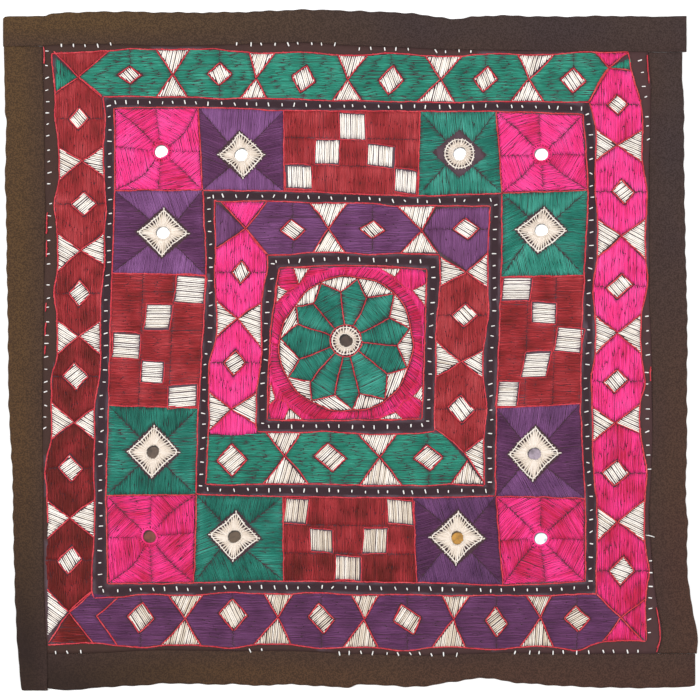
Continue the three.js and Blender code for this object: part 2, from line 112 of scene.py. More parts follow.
# Border strips: each row is a place along the strip, then its seam and its outer edge there
STRIPS = {
    "top": ("x", (
        (-299.5, 262, 286.5), (-296, 262, 288.2), (-265, 262.4, 288.6), (-254, 263.5, 291),
        (-205, 264, 292.4),
        (-150, 262.5, 291.6), (-95, 264, 292), (-40, 265.5, 294), (0, 263, 293), (50, 261, 291),
        (80, 259.5, 287), (92, 259.4, 286), (105, 259, 287.7), (130, 258.7, 289), (175, 258, 288),
        (225, 257.7, 288.6), (262, 257.3, 288), (290.5, 257.3, 288.6))),
    "right": ("y", (
        (257, 257.5, 287), (230, 260, 287), (218, 259.7, 288.4), (170, 258.7, 288.5), (135, 258.3, 289),
        (80, 258.3, 290), (45, 258.3, 291), (10, 260, 291.4), (-30, 261, 291), (-80, 261, 291),
        (-125, 259, 290), (-150, 258.5, 291.7), (-180, 261, 291), (-200, 262.5, 292.5), (-222, 266, 295.5),
        (-240, 269.5, 299.3), (-250, 269, 300.5), (-262, 266, 299.5))),
    "bottom": ("x", (
        (-260.98, -262, -292.3), (-243, -262.3, -294), (-215, -261.5, -291.5), (-180, -259.5, -289.7),
        (-155, -259, -288), (-120, -259.7, -289), (-100, -260, -288.5), (-85, -260, -290),
        (-50, -259.8, -289),
        (-5, -262, -291.5), (12, -262.5, -289), (57, -263.8, -291), (80, -263.2, -288), (108, -262.2, -284),
        (120, -261.7, -283.5), (140, -261.5, -287), (165, -262, -289), (200, -262.5, -291),
        (248, -262.3, -292),
        (294, -262.3, -290.8), (298, -262.3, -288.5))),
    "left": ("y", (
        (261.98, -266, -299), (210, -264.3, -298), (195, -264, -297), (145, -263.5, -298), (120, -263, -297),
        (70, -264, -296.5), (20, -264.6, -295.5), (-40, -265.6, -295), (-75, -265.4, -293.5),
        (-110, -265, -291.5), (-150, -265, -291), (-190, -264.7, -290), (-235, -263.4, -288.5),
        (-262, -261, -286.7), (-292, -261, -284), (-294, -261, -282))),
}
SIDES = ("top", "right", "bottom", "left")
PANEL_CORNERS = ((-265.9, 262.2), (257.5, 257.4), (266, -262.2), (-261, -262))
CORNER_CLEARANCE = 4
PIECE_GAP = 0.02

# Bands of long lozenges, the outer frame's four and then the inner one's.
# Crossing: along, across, then the outer triangle's base (from, to, across) and the inner one's.
# Diamond: x, y, half width, half height, lean of its height, drop of its width, outer and inner line there,
# and the direction of its stitches in degrees.
BANDS = (
    ("x", "green", (
        (-234.5, 235.5, -256, -208, 258, -214, -214, 219),
        (-153, 237.5, -167, -139, 259.5, -167, -140.5, 218.5),
        (-81, 234.5, -87, -65, 256.5, -95, -71.5, 217), (-2, 233.5, -10.5, 15, 254.5, -15, 11, 215),
        (78.3, 233.5, 65, 97, 254, 58, 90.5, 214), (154.5, 234, 145, 176, 255, 139, 167, 214.5),
        (223.5, 243.5, 211.5, 240, 257, 206, 206, 214.5),
    ), (
        (-190, 237.3, 10.8, 7.8, -0.5, 0, 260, 219, -48),
        (-112.5, 238.3, 10.7, 10, 0.5, 0.5, 259.4, 217, -70),
        (-40, 234, 10.3, 12.2, 2.7, 2.7, 257, 216.5, -75), (35.5, 233, 11, 13, 2, 0, 256, 214, -70),
        (117, 233.8, 10.5, 11.5, 2, 0.5, 256, 214.5, -70),
        (192.8, 232.8, 11.2, 11.5, 0.3, 1, 257, 213.7, -58),
    )),
    ("y", "maroon", (
        (235.5, -234.5, 254, 221.5, -254.5, 218, 218, -214),
        (163, -231.2, 175, 146, -251.5, 176.5, 150, -212.5),
        (86, -232.5, 100.5, 68, -252.5, 101.5, 73.5, -212), (12, -234, 25.5, -4, -253, 25, -4, -215.5),
        (-62.5, -238.3, -45, -77.5, -258, -50, -77.5, -220.5),
        (-145, -242, -130, -163, -261.5, -129, -162, -220.5),
        (-226, -243, -206, -248, -261.5, -208, -208, -222.5),
    ), (
        (-234.3, 199.8, 8.9, 9.8, 0.3, -0.5, -254.5, -211.5, -49),
        (-229.7, 126.2, 11.4, 10.7, 0, -0.5, -255, -211, 40),
        (-233.7, 49, 9.6, 11.8, 0.5, 0, -255.5, -214.7, 36),
        (-237, -22.7, 11.5, 12.2, -0.7, 0, -257.5, -216.5, 38),
        (-241.3, -102, 11, 12, -0.5, 0.5, -263, -221.5, 34),
        (-242, -181.5, 11, 12.7, 1.7, -1, -263.2, -222.5, -61),
    )),
    ("y", "pink", (
        (243.5, 223.5, 254.5, 241, 243, 214, 214, 207), (177, 230.5, 190, 162, 252.5, 191, 163, 212),
        (98.5, 234, 113, 78, 255.3, 113, 80, 213.5), (15, 230.7, 31, -3, 251.5, 30.5, -4, 211.5),
        (-63, 229, -46.5, -72, 250.5, -49.5, -79, 209.5),
        (-148.3, 231, -129, -165.5, 254.5, -136, -165, 213.5),
        (-231, 234, -215, -252.5, 255, -211, -211, 213),
    ), (
        (231, 211.8, 9.3, 8.8, -0.7, -0.5, 251.5, 207.5, -37),
        (235.8, 136.7, 10, 11, -1.3, 0, 256.5, 212, 37),
        (232.7, 55, 12, 11.3, 2.2, -1.2, 256.5, 210, -49), (229.5, -27, 11, 10.5, 1.2, -1, 254.5, 208, -52),
        (229.3, -106.3, 12.3, 11.5, 1.2, 0.2, 256, 210.5, -56),
        (234.7, -190.7, 11.5, 13.2, 1.5, 0, 258, 212.5, -20),
    )),
    ("x", "purple", (
        (-242.5, -226.5, -260, -222, -253, -223, -223, -209),
        (-219, -229.5, -201, -201, -255, -201, -201, -214),
        (-142.5, -232, -163, -128.5, -255, -156.5, -127, -211.5),
        (-62.2, -231, -83, -51, -254.3, -74, -49, -210.5),
        (12.6, -232.7, -6.5, 24, -257, 1, 24.5, -211.5), (89.3, -232.7, 71, 100, -257, 79.5, 103.5, -212),
        (164.5, -231, 147, 175.5, -256.5, 152.5, 174.5, -212),
        (233.5, -231, 218.5, 253.5, -252, 213, 213, -210.7),
    ), (
        None, (-180.7, -231, 12, 13.5, 1, 1, -256.8, -211, -58),
        (-101, -228.3, 12.7, 14, -0.5, 1, -257.5, -209, -65),
        (-24.8, -231.5, 11.5, 13.7, -2.2, 1.2, -258, -209.5, 42),
        (49.5, -232.5, 12, 13.5, -5.5, -1.7, -260, -211, 58),
        (126.3, -234.8, 10, 13.5, -0.5, 1.3, -258.5, -211.5, 39),
        (196, -231.7, 11.5, 11.7, -1.2, 0, -259.2, -211, 29),
    )),
    ("x", "purple", (
        (-90, 105, -112, -72, 128.5, -71.5, -71.5, 82.5), (-18.5, 105, -35, -2, 127, -32, -4, 84),
        (62, 103, 40.5, 73.5, 124.5, 43, 76, 83.5),
    ), (
        (-49.5, 103.7, 11, 9.2, -1.7, -0.3, 128, 82.5, -37), (19.5, 104, 11.3, 8, 0.3, 0.8, 126.5, 82, -48),
    )),
    ("y", "pink", (
        (105, -90, 129, 87.5, -116, 82.5, 82.5, -72), (27, -97, 43, 11, -115.5, 41, 2, -76.5),
        (-51, -102.5, -36.5, -70, -122, -36.5, -64.5, -80.5),
    ), (
        (-94, 67, 8.5, 10.5, 0.7, 0.5, -117, -72, -71), (-99.7, -11, 9.8, 11.5, 1, 0, -121.5, -77, 30),
    )),
    ("y", "maroon", (
        (67, 100.3, 84, 54, 119, 80.5, 55, 78), (-10, 95.7, 0, -24, 115, 8, -23.5, 74),
        (-88.5, 98.5, -75.5, -113.5, 115.5, -68, -68, 73.5),
    ), (
        (99, 30, 11.8, 10.5, 1, -0.3, 119.5, 75.5, -47), (96, -51, 12, 12.7, -0.7, 1, 118, 73, -54),
    )),
    ("x", "green", (
        (-125, -95, -124.5, -124.5, -116, -124.5, -124.5, -72.5),
        (-56.5, -91.5, -75, -36, -115.7, -72.5, -42.5, -71),
        (25.5, -92.5, 8, 45, -117, 7, 40.5, -72.5), (101.5, -95, 87, 116.5, -116, 80.5, 80.5, -72),
    ), (
        (-102, -95, 13.3, 14.3, -0.3, -0.8, -116.5, -73.5, 39),
        (-17, -92.8, 14.2, 12.7, -2, 0.7, -116, -70.5, 44),
        (67.5, -93, 13, 11.5, -1.5, -0.8, -117.5, -71, 40),
    )),
)
# Outer triangles that aren't white, by band and crossing: colour and direction of the stitches in degrees
CORNER_FIELDS = {
    (0, 0): ("maroon", 90), (0, 6): ("pink", 90), (1, 0): ("green", 90), (2, 0): ("green", 90),
    (2, 6): ("pink", 90), (3, 0): ("maroon", 0), (3, 7): ("pink", 90), (4, 0): ("pink", 70),
    (5, 0): ("purple", 90),
}
# Direction of the white triangles' stitches in each band in degrees, outer ones and then inner ones
TRIANGLE_SLANTS = ((76, 71), (-28, -18), (-25, -30), (80, 73), (78, 69), (-17, -24), (-23, -11), (81, 72))
INNER_CORNER = ((63, 103), (75, 123), (120, 124), (121, 86), (100.5, 68), (79.5, 82.5), (76.5, 84.5))
INNER_CORNER_DIAMOND = (100.5, 104.5, 12, 9.5, -1.7, -0.5, -32)
INNER_FOOT = ((-102.5, -51.3), (-121.7, -70), (-120.5, -72.5), (-100, -74.3), (-81, -72.5), (-80.7, -64.8))

# Ring of squares: corners of its lines, and each divider's along and across at the outer and inner line
SQUARE_OUTER = ((-203.5, 209), (201, 203.5), (203, -200), (-209, -202))
SQUARE_INNER = ((-127, 137.5), (131, 135.5), (125.5, -126), (-133, -124.5))
DIVIDERS = {
    "top": ((-131, 209.5, -127.5, 138), (-57, 207, -57, 137), (60.5, 206, 58.5, 133),
            (126, 206, 131.5, 135.5)),
    "right": ((138, 205.5, 135.5, 131.5), (64.5, 202, 63, 130.5), (-46, 199, -50, 126.5),
              (-128, 203, -126.5, 126)),
    "bottom": ((-134.5, -201, -132.5, -125), (-57, -199.5, -58, -126.5), (58, -201, 54, -127.5),
               (132, -203, 126, -126.5)),
    "left": ((137.5, -203, 138, -127.5), (66.5, -205.5, 64.5, -124.5), (-48, -208.5, -50, -131),
             (-125.5, -210.5, -125, -133)),
}
SQUARES = {
    "top": ("purple", "checker", "green"), "right": ("green", "checker", "purple"),
    "bottom": ("green", "checker", "purple"), "left": ("purple", "checker", "green"),
}
CORNER_SQUARES = {
    "top_left": (("left", 0), ("top", 0)), "top_right": (("top", 3), ("right", 0)),
    "bottom_right": (("right", 3), ("bottom", 3)), "bottom_left": (("bottom", 0), ("left", 3)),
}
CHECKER_ROWS = 3
# White cells of each checker: x, y, half width, half height, lean of the height and drop of the width
CHECKER_CELLS = {
    "top": ((2, 193, 10.7, 11.2, -0.2, 0.7), (-19.5, 171, 10.4, 10.3, 0.4, 0),
            (26.9, 167.6, 11.5, 9.1, 0.4, 1.3), (-44.3, 149.4, 11.1, 9.7, -0.4, 0.4),
            (48, 145.6, 9.2, 9.7, 0.5, 1.3)),
    "right": ((143.7, 52.3, 12, 9.7, 0.9, 0), (167.5, 32.2, 10.1, 8.7, 0.2, 0.7),
              (189.1, 8.4, 11, 10.1, 1.9, 1), (160.7, -12.3, 10.7, 10.7, 2.1, -0.4),
              (136.2, -38.1, 8.6, 10.5, 1.3, 0.2)),
    "bottom": ((-46.4, -138.9, 9.6, 10.3, 1.3, 0.6), (-24.8, -164.5, 9.4, 9.5, -0.2, 1),
               (-1.7, -188.5, 10.7, 10.3, 0.2, 0.6), (21.5, -164.8, 10.1, 10.5, 0.6, -0.1),
               (43.7, -139.9, 11.1, 10.3, -0.6, 1.2)),
    "left": ((-138, 52.5, 12.4, 11.5, 1.1, 1), (-166, 28.3, 10.8, 10.5, 1.5, 0.1),
             (-193.2, 3.7, 11.6, 10.5, 0.7, 0.9), (-170.7, -18.7, 9.3, 9.2, 0.6, 0.6),
             (-144.7, -39.8, 12.1, 9.4, 0.2, -1.1)),
}
# Stitch directions in degrees in the eight sectors round each corner mirror, clockwise from the lower left
PINK_STROKES = {
    "top_left": (-78, 35, 30, -28, -77, 40, 11, -30), "top_right": (-71, 44, 15, -35, -71, 60, 10, -35),
    "bottom_right": (-79, 50, 27, -34, -60, 64, 18, -20), "bottom_left": (-84, 45, 8, -47, -85, 40, 22, -30),
}
# Those that are darker with painted shade, as their stitches' direction catches less light; the others get a
# painted sheen
SHADED_SECTORS = {"top_left": (2, 6), "top_right": (2, 5), "bottom_right": (0, 3, 4, 7), "bottom_left": ()}

# Diamonds of buttonhole stitches round the mirrors: half width, half height, lean and drop
MIRROR_DIAMONDS = {
    "mirror_top_purple": (19.7, 19.5, -1.5, 0), "mirror_top_green": (23.2, 20.5, 0.3, 1.2),
    "mirror_right_green": (21.3, 19.3, 2.7, 0.5), "mirror_right_purple": (21.7, 23, 1.2, -0.5),
    "mirror_bottom_purple": (23.2, 22.5, 1, 0.7), "mirror_bottom_green": (21.5, 21, 1.5, 1.7),
    "mirror_left_green": (22, 22.2, 1.2, 0.2), "mirror_left_purple": (22, 20.5, 1, 0.7),
}
BARE_DIAMOND = "mirror_top_green"
BARE_ROUND = 1.09  # size of the bare ground round the other diamonds, as a share of theirs
MIRROR_EDGE = 5.7  # radius of the glass that the ring of stitches leaves free
ROUND_RING = 13.0  # radius of the cream ring on the bare diamond, and of the centre's
BUTTONHOLE_PITCH = 3.0  # between the long buttonhole stitches at the rim
SPOKE = 1.35  # their width
TOOTH = 0.9  # how far they reach past the rim
TIP_TAIL = 1.4  # how far the last stitch at a diamond's tip does
CLOSE_PITCH = 1.5  # between the short ones under them
CLOSE_SPOKE = 1.6
PURL_INSET = 0.6  # from the rim in to the middle of the cord
DIAMOND_HOLE = 3.3  # from the rim in to the short stitches' ends, here and on a round ring
ROUND_HOLE = 2.5
PINK_RING = 8.8
PINK_SPOKES = 44
SECTOR_OVERLAP = 0.15  # how far two pink sectors reach into each other

# Tones of the cloth in eight-bit screen values, along the border by x + y
BORDER_TONES = ((-540, (51, 40, 37)), (-380, (88, 65, 44)), (60, (94, 72, 48)), (340, (69, 57, 57)))
BORDER_LOWER_RIGHT = (80, 57, 50)
BORDER_SEAM = (70, 54, 52)
# Ground in the channels, darkened by painted shade of their furrows
GROUND_IN_FURROW_SHADE = (60, 45, 50)
GROUND_SHADED_UNDER_FIELDS = (78, 58, 64)  # under the stitched fields, with painted shade between the stitches
GROUND_BARE = (104, 88, 98)
MARGIN_LEFT = (72, 54, 48)
MARGIN_RIGHT = (80, 58, 58)
BARE_SHARE = 0.6  # of the diamond that has no stitches

# Each mirror: its silvering's tint with a painted reflection as the glass's colour, and how far it leans to
# the right and to the top, in degrees
MIRROR_LOOKS = {
    "mirror_centre": ((56, 43, 37), 2, -5), "mirror_corner_top_left": ((255, 255, 255), 1, 3),
    "mirror_corner_top_right": ((255, 255, 255), -1, 3),
    "mirror_corner_bottom_right": ((190, 200, 206), 2, 4),
    "mirror_corner_bottom_left": ((92, 45, 37), -3, -4), "mirror_top_purple": ((255, 255, 255), -2, 2),
    "mirror_top_green": ((255, 255, 255), 1, 2), "mirror_right_green": ((255, 255, 255), 2, 3),
    "mirror_right_purple": ((126, 114, 124), -2, -2), "mirror_bottom_purple": ((150, 108, 44), 1, -4),
    "mirror_bottom_green": ((74, 61, 49), -2, -5), "mirror_left_green": ((76, 63, 54), 3, -3),
    "mirror_left_purple": ((255, 255, 255), -1, 2),
}

# Painted shadow that the ring of stitches casts on the glass's edge, in shares of the radius: its start, how
# much sooner on one side, and its fade
RIM_SHADOW_START = 0.74
RIM_SHADOW_LEAN = 0.15
RIM_SHADOW_FADE = 0.07
# Side on which the painted shadow reaches furthest in
RIM_SHADOW_HEADING = math.radians(120)

# Centre flower
FLOWER = np.array((-3.5, 8.0))
PETALS = 11
PETAL_TURN = 111  # direction of the first petal's tip in degrees; the others follow clockwise
PETAL_TIP = 57.0  # distance of the tips and of the valleys between them from the circle's centre
PETAL_VALLEY = 44.0
PETAL_UNEVEN = 1.5  # how far both stray
PETAL_SHADES = (0.42, 0.6, 0.62, 0.5, 0.45, 0.66, 0.6, 0.56, 0.45, 0.44, 0.6)
PETAL_START = 14.0
# Direction of the white stitches between each petal tip and the next, in degrees
SCALLOP_SLANTS = (76, 65, -15, -9, 70, 75, -35, -15, -40, 62, 88)
CIRCLE = np.array((-4.0, 5.0))
SCALLOP_BULGE = 1.6  # how far the flower's rim stands out between two petal tips
RING_OUTSIDE = (66.5, 71.5, 70.5, 71.0)  # outer radius of the pink ring towards each corner, clockwise
RING_SHADES = (0.32, 0.16, 0.16, 0.1)  # of the ring there, and then of the corner beyond it
CORNER_SHADES = (0.14, 0.38, 0.2, 0.2)
CORNER_SLANTS = (5, 92, -45, 75)  # direction of the corners' stitches in degrees
# White patches on the sides of the flower square, before and after each corner, clockwise from the upper
# left: direction of the stitches in degrees, distance from the corner, length of the base and height
CORNER_PATCHES = (
    ((-20, 15, 15, 9), (80, 13, 13, 14)), ((75, 22, 18, 7), (-20, 13, 19, 11)),
    ((60, 15, 14, 8), (75, 16, 21, 6)), ((85, 14, 16, 10), (-12, 13, 20, 5)),
)
PATCH_TIP_SHARE = 0.3  # place of the patch's tip along its base
FLOWER_SQUARE = ((-61.3, 70.8), (66, 70), (62, -59.5), (-71, -60.5))
SQUARE_BOW = {"top": 2.5, "right": 0.5, "bottom": 1.0, "left": 3.3}  # how far its sides stand out

# Corners of the outline rings that the bands' edges and the squares' lines follow
RING_CORNERS = (
    ((-258, 256), (240.5, 257), (255.5, -251), (-261, -254.5)),
    ((-213, 218.5), (206.5, 214), (213, -210.5), (-220.5, -214)),
    SQUARE_OUTER,
    SQUARE_INNER,
    ((-117.5, 129.5), (121, 124), (116, -117), (-124.5, -116)),
    ((-71.5, 82), (77.5, 82), (73, -70), (-80, -70)),
    FLOWER_SQUARE,
)
BAND_OF_SIDE = {"top": 0, "left": 1, "right": 2, "bottom": 3}
INNER_BANDS = 4  # place of the inner frame's first band in the list
SQUARE_RINGS = (2, 3)  # rings along the outer and the inner line of the squares
FLOWER_RING = 6
# Lines of triangles that aren't sewn, mostly as another one lies there: band, crossing, side and end
SKIPPED_LINES = {
    (1, 0, "outer", 0), (5, 0, "outer", 0), (2, 0, "outer", 0), (2, 6, "outer", 1), (1, 6, "outer", 1),
    (7, 0, "outer", 0), (7, 0, "inner", 0), (7, 3, "inner", 0), (7, 3, "outer", 1),
}

# Bits of an older outline that show beside the border: the side, and from and to along it
STRAY_BITS = (
    ("left", 262, 247), ("left", 119, 100), ("left", 95, 80), ("left", 41, 33), ("left", 24, 12),
    ("left", 4, -4), ("right", 255, 230), ("right", -14, -27), ("right", -222, -261),
)
STRAY_INSET = 1.6  # from the seam
LOOSE_THREAD = ((255, -160), (258, -160), (263, -161.5))

# Running stitches beside the border: from and to along each side, with the place across at both ends
OUTER_RUNNING = (
    ("y", 260, 140, -262, -260), ("y", 130, 70, -259, -260.5), ("y", 60, -78, -260.5, -264),
    ("x", -253, -200, 263, 264), ("x", -100, -12, 264, 264.5), ("x", 5, 60, 260, 259.5),
    ("x", 70, 106, 258, 257.5), ("y", 254, 213, 250, 256), ("y", 205, 180, 256.5, 257.5),
    ("y", 30, -5, 256, 257), ("y", -15, -106, 256, 258), ("y", -179, -254, 260, 258),
    ("x", -257, -225, -260.5, -261), ("x", -90, -68, -259, -259), ("x", -15, 102, -261.5, -263),
    ("x", 140, 251, -261.3, -260),
)
TICK_PITCH = 10.4
TICK_LENGTH = 3.7
SEAM_LIFT = 0.62  # of those that run over the upper and the lower seam

# Colours of the threads as deep, middle and light, in eight-bit screen values
THREAD_COLOURS = {
    "pink": ((209, 41, 84), (254, 66, 153), (255, 97, 181)),
    "maroon": ((112, 36, 32), (172, 53, 58), (204, 84, 90)),
    "green": ((37, 119, 101), (57, 160, 137), (96, 193, 170)),
    "teal": ((31, 101, 88), (47, 138, 121), (80, 176, 158)),
    "purple": ((77, 42, 73), (111, 64, 107), (143, 90, 144)),
    "violet": ((90, 55, 93), (132, 83, 135), (166, 112, 173)),
    "white": ((204, 186, 164), (246, 239, 231), (255, 252, 248)),
    "cream": ((200, 182, 160), (222, 209, 196), (247, 240, 232)),
    "red": ((170, 42, 54), (206, 61, 73), (228, 98, 102)),
    "running": ((232, 228, 222), (250, 248, 244), (255, 255, 255)),
}
# For each floss: share of the stitches with a gap after them, the gap, length past which a stitch is broken,
# spread of the shades, width at the ends as a share of the full width, length over which it narrows to that,
# how far it strays sideways, and how strongly painted patches of sheen and shade lie over it
FLOSS_LOOKS = {
    "pink": (0.08, 0.3, 28, 0.08, 0.64, 3.6, 0.1, 0.9), "maroon": (0.02, 0.3, 26, 0.05, 0.76, 3.0, 0.1, 1.1),
    "green": (0.09, 0.36, 20, 0.08, 0.54, 4.0, 0.1, 0.8), "teal": (0.1, 0.32, 30, 0.07, 0.54, 4.4, 0.1, 1.0),
    "purple": (0.04, 0.3, 32, 0.05, 0.76, 3.2, 0.1, 0.7),
    "violet": (0.05, 0.3, 36, 0.06, 0.74, 3.4, 0.1, 0.7),
    "white": (0.36, 0.44, 60, 0.11, 0.7, 4.5, 0.06, 0), "cream": (0, 0, 60, 0.09, 0.75, 3.0, 0.08, 0),
    "red": (0, 0, 60, 0.13, 0.85, 2.4, 0.08, 0.6), "running": (0, 0, 60, 0.1, 0.85, 2.4, 0.05, 0),
}


# Plane geometry

def place(along, a, b):
    return (a, b) if along == "x" else (b, a)


def side_axis(side):
    return "x" if side in ("top", "bottom") else "y"


def points(rows):
    return np.array(rows, dtype=float)


def lengths(path):
    steps = np.hypot(*np.diff(path, axis=0).T)
    return np.concatenate(([0.0], np.cumsum(steps)))


def compass(angles):
    """Directions at angles in radians."""
    return np.column_stack((np.cos(angles), np.sin(angles)))


def unit(vectors):
    return vectors / np.hypot(*vectors.T)[:, None]


def leftward(headings):
    return np.column_stack((-headings[:, 1], headings[:, 0]))


def corner_pairs(shape):
    """Each corner of a shape with the next one."""
    return zip(shape, np.roll(shape, -1, axis=0))


def along_path(path, shares):
    """Points of a path at shares of its length."""
    path = points(path)
    run = lengths(path)
    at = np.asarray(shares) * run[-1]
    return np.column_stack((np.interp(at, run, path[:, 0]), np.interp(at, run, path[:, 1])))


CURVE_STEP = 1.5


def smooth(path, step=CURVE_STEP):
    """A soft curve through the points of a path, sampled at about that step."""
    path = points(path)
    if len(path) < 3:
        count = max(2, int(lengths(path)[-1] / step) + 1)
        return along_path(path, np.linspace(0, 1, count))
    before = np.vstack((2 * path[0] - path[1], path[:-1]))
    after = np.vstack((path[1:], 2 * path[-1] - path[-2]))
    tangents = (after - before) / 2
    pieces = []
    for i in range(len(path) - 1):
        count = max(2, int(np.hypot(*(path[i + 1] - path[i])) / step) + 1)
        t = np.linspace(0, 1, count, endpoint=False)[:, None]
        pieces.append(
            (2 * t**3 - 3 * t**2 + 1) * path[i] + (t**3 - 2 * t**2 + t) * tangents[i]
            + (3 * t**2 - 2 * t**3) * path[i + 1] + (t**3 - t**2) * tangents[i + 1])
    return np.vstack(pieces + [path[-1:]])


def closed(path):
    path = points(path)
    return np.vstack((path, path[:1]))


def inset(polygon, distance):
    """The polygon moved inwards by a distance, sharp corners by no more than twice that."""
    shape = points(polygon)
    x, y = shape.T
    if np.sum(x * np.roll(y, -1) - np.roll(x, -1) * y) < 0:
        shape = shape[::-1]
    before = unit(shape - np.roll(shape, 1, axis=0))
    after = unit(np.roll(shape, -1, axis=0) - shape)
    normal = np.column_stack((-before[:, 1] - after[:, 1], before[:, 0] + after[:, 0]))
    spread = 1 + np.sum(before * after, axis=1)
    return shape + normal * (distance * np.minimum(1 / spread, 2))[:, None]


def diamond_tips(x, y, half_width, half_height, lean, drop, *_):
    """Top, left, bottom and right tip."""
    return points((
        (x + lean, y + half_height), (x - half_width, y + drop),
        (x - lean, y - half_height), (x + half_width, y - drop)))


def circle_of(centre, radius, step):
    """A closed circle with points at that step in degrees."""
    return centre + radius * compass(np.radians(np.arange(0, 360 + step / 2, step)))


def inside(polygon, where):
    """Which points lie inside a polygon."""
    within = np.zeros(len(where), dtype=bool)
    for a, b in corner_pairs(polygon):
        crosses = (a[1] > where[:, 1]) != (b[1] > where[:, 1])
        if crosses.any():
            stop = a[0] + (where[:, 1] - a[1]) * (b[0] - a[0]) / (b[1] - a[1] + 1e-12)
            within ^= crosses & (where[:, 0] < stop)
    return within


def distance_to(path, where):
    """Distance of each point to a path."""
    best = np.full(len(where), np.inf)
    for a, b in zip(path[:-1], path[1:]):
        leg = b - a
        t = np.clip((where - a) @ leg / max(leg @ leg, 1e-9), 0, 1)
        best = np.minimum(best, np.hypot(*(where - a - t[:, None] * leg).T))
    return best


# Relief of the cloth: low waves, each with its height, its length and its direction in radians

WAVES = ((0.10, 61.0, 0.4), (0.09, 47.0, 1.9), (0.07, 33.0, 2.8), (0.05, 21.0, 0.9), (0.04, 15.0, 2.3))
WAVE_BEND = 6  # how far their crests bend to the side, and the length of a bend in waves
BEND_LENGTH = 2.3


def relief(x, y):
    total = np.zeros_like(x)
    for i, (height, wavelength, heading) in enumerate(WAVES):
        turn = 2 * math.pi / wavelength
        bend = WAVE_BEND * np.sin((x * math.sin(heading) - y * math.cos(heading)) * turn / BEND_LENGTH + i)
        total += height * np.sin((x * math.cos(heading) + y * math.sin(heading) + bend) * turn + 2 * i)
    return total


# Outline rings and the channels between them

# First column of a crossing's outer and inner base, and columns of a diamond's outer and inner line
OUTER_BASE, INNER_BASE = 2, 5
OUTER_LINE, INNER_LINE = 6, 7
BAND_OUTSIDES = (0, 4)  # rings along the outer edges of the bands


def ring_stations(ring, side):
    """Places between two of a ring's corners that the bands or the squares give."""
    axis = side_axis(side)
    if ring == FLOWER_RING:
        index = SIDES.index(side)
        middle = (points(FLOWER_SQUARE[index]) + points(FLOWER_SQUARE[(index + 1) % 4])) / 2
        outwards = 1 if side in ("top", "right") else -1
        return [middle + points(place(axis, 0, outwards * SQUARE_BOW[side]))]
    if ring in SQUARE_RINGS:
        column = 2 * SQUARE_RINGS.index(ring)
        return [place(axis, *row[column:column + 2]) for row in DIVIDERS[side]]
    band = BANDS[BAND_OF_SIDE[side] + (INNER_BANDS if ring > max(SQUARE_RINGS) else 0)]
    first, line = (OUTER_BASE, OUTER_LINE) if ring in BAND_OUTSIDES else (INNER_BASE, INNER_LINE)
    rows = []
    for crossing in band[2]:
        start, end, across = crossing[first:first + 3]
        rows += [place(axis, start, across), place(axis, end, across)]
    for diamond in filter(None, band[3]):
        rows.append(place(axis, diamond[0 if axis == "x" else 1], diamond[line]))
    return rows


def between_corners(rows, start, end, column):
    """Those rows that lie between two corners and clear of them, in order from the first corner."""
    low, high = sorted((start[column], end[column]))
    rows = [points(row) for row in rows]
    rows = [row for row in rows if low + CORNER_CLEARANCE < row[column] < high - CORNER_CLEARANCE]
    return sorted(rows, key=lambda row: abs(row[column] - start[column]))


def ring_side(ring, index):
    """One side of an outline ring, clockwise."""
    side = SIDES[index]
    start = points(RING_CORNERS[ring][index])
    end = points(RING_CORNERS[ring][(index + 1) % 4])
    column = 0 if side_axis(side) == "x" else 1
    kept = [start]
    for row in between_corners(ring_stations(ring, side), start, end, column) + [end]:
        if abs(row[column] - kept[-1][column]) > CORNER_CLEARANCE:
            kept.append(row)
    kept[-1] = end
    return smooth(kept)


RINGS = [[ring_side(ring, index) for index in range(4)] for ring in range(len(RING_CORNERS))]
CHANNELS = ((1, 2), (3, 4), (5, 6))
CHANNEL_POINTS = 120


def channel_middle(outer, inner, index):
    shares = np.linspace(0, 1, CHANNEL_POINTS)
    return (along_path(RINGS[outer][index], shares) + along_path(RINGS[inner][index], shares)) / 2


# Meshes

def make_mesh(name, vertices, faces):
    """A mesh object from arrays of millimetre points and of triangles or quads."""
    mesh = bpy.data.meshes.new(name)
    sides = faces.shape[1]
    mesh.vertices.add(len(vertices))
    mesh.vertices.foreach_set("co", (np.asarray(vertices, dtype=np.float32) * MM).ravel())
    mesh.loops.add(faces.size)
    mesh.loops.foreach_set("vertex_index", faces.astype(np.int32).ravel())
    mesh.polygons.add(len(faces))
    mesh.polygons.foreach_set("loop_start", np.arange(0, faces.size, sides, dtype=np.int32))
    mesh.polygons.foreach_set("use_smooth", np.ones(len(faces), dtype=bool))
    mesh.update(calc_edges=True)
    mesh.validate()
    piece = bpy.data.objects.new(name, mesh)
    bpy.context.scene.collection.objects.link(piece)
    return piece


MAP_SIZE = 0.61  # metres that the bake map takes in


def plan_map(piece):
    """A bake map that looks straight down on the cloth."""
    mesh = piece.data
    corners = np.empty(len(mesh.loops), dtype=np.int32)
    mesh.loops.foreach_get("vertex_index", corners)
    places = np.empty(3 * len(mesh.vertices), dtype=np.float32)
    mesh.vertices.foreach_get("co", places)
    flat = places.reshape(-1, 3)[corners, :2] / MAP_SIZE + 0.5
    layer = mesh.uv_layers.new(name="OFBake")
    layer.data.foreach_set("uv", flat.astype(np.float32).ravel())


def set_attribute(piece, name, values):
    attribute = piece.data.attributes.new(name, "FLOAT", "POINT")
    attribute.data.foreach_set("value", np.asarray(values, dtype=np.float32))


def set_tone(piece, colours):
    """A colour for each point, given in eight-bit screen values."""
    attribute = piece.data.attributes.new("tone", "FLOAT_COLOR", "POINT")
    rows = np.column_stack((linear_light(colours), np.ones(len(colours))))
    attribute.data.foreach_set("color", rows.astype(np.float32).ravel())


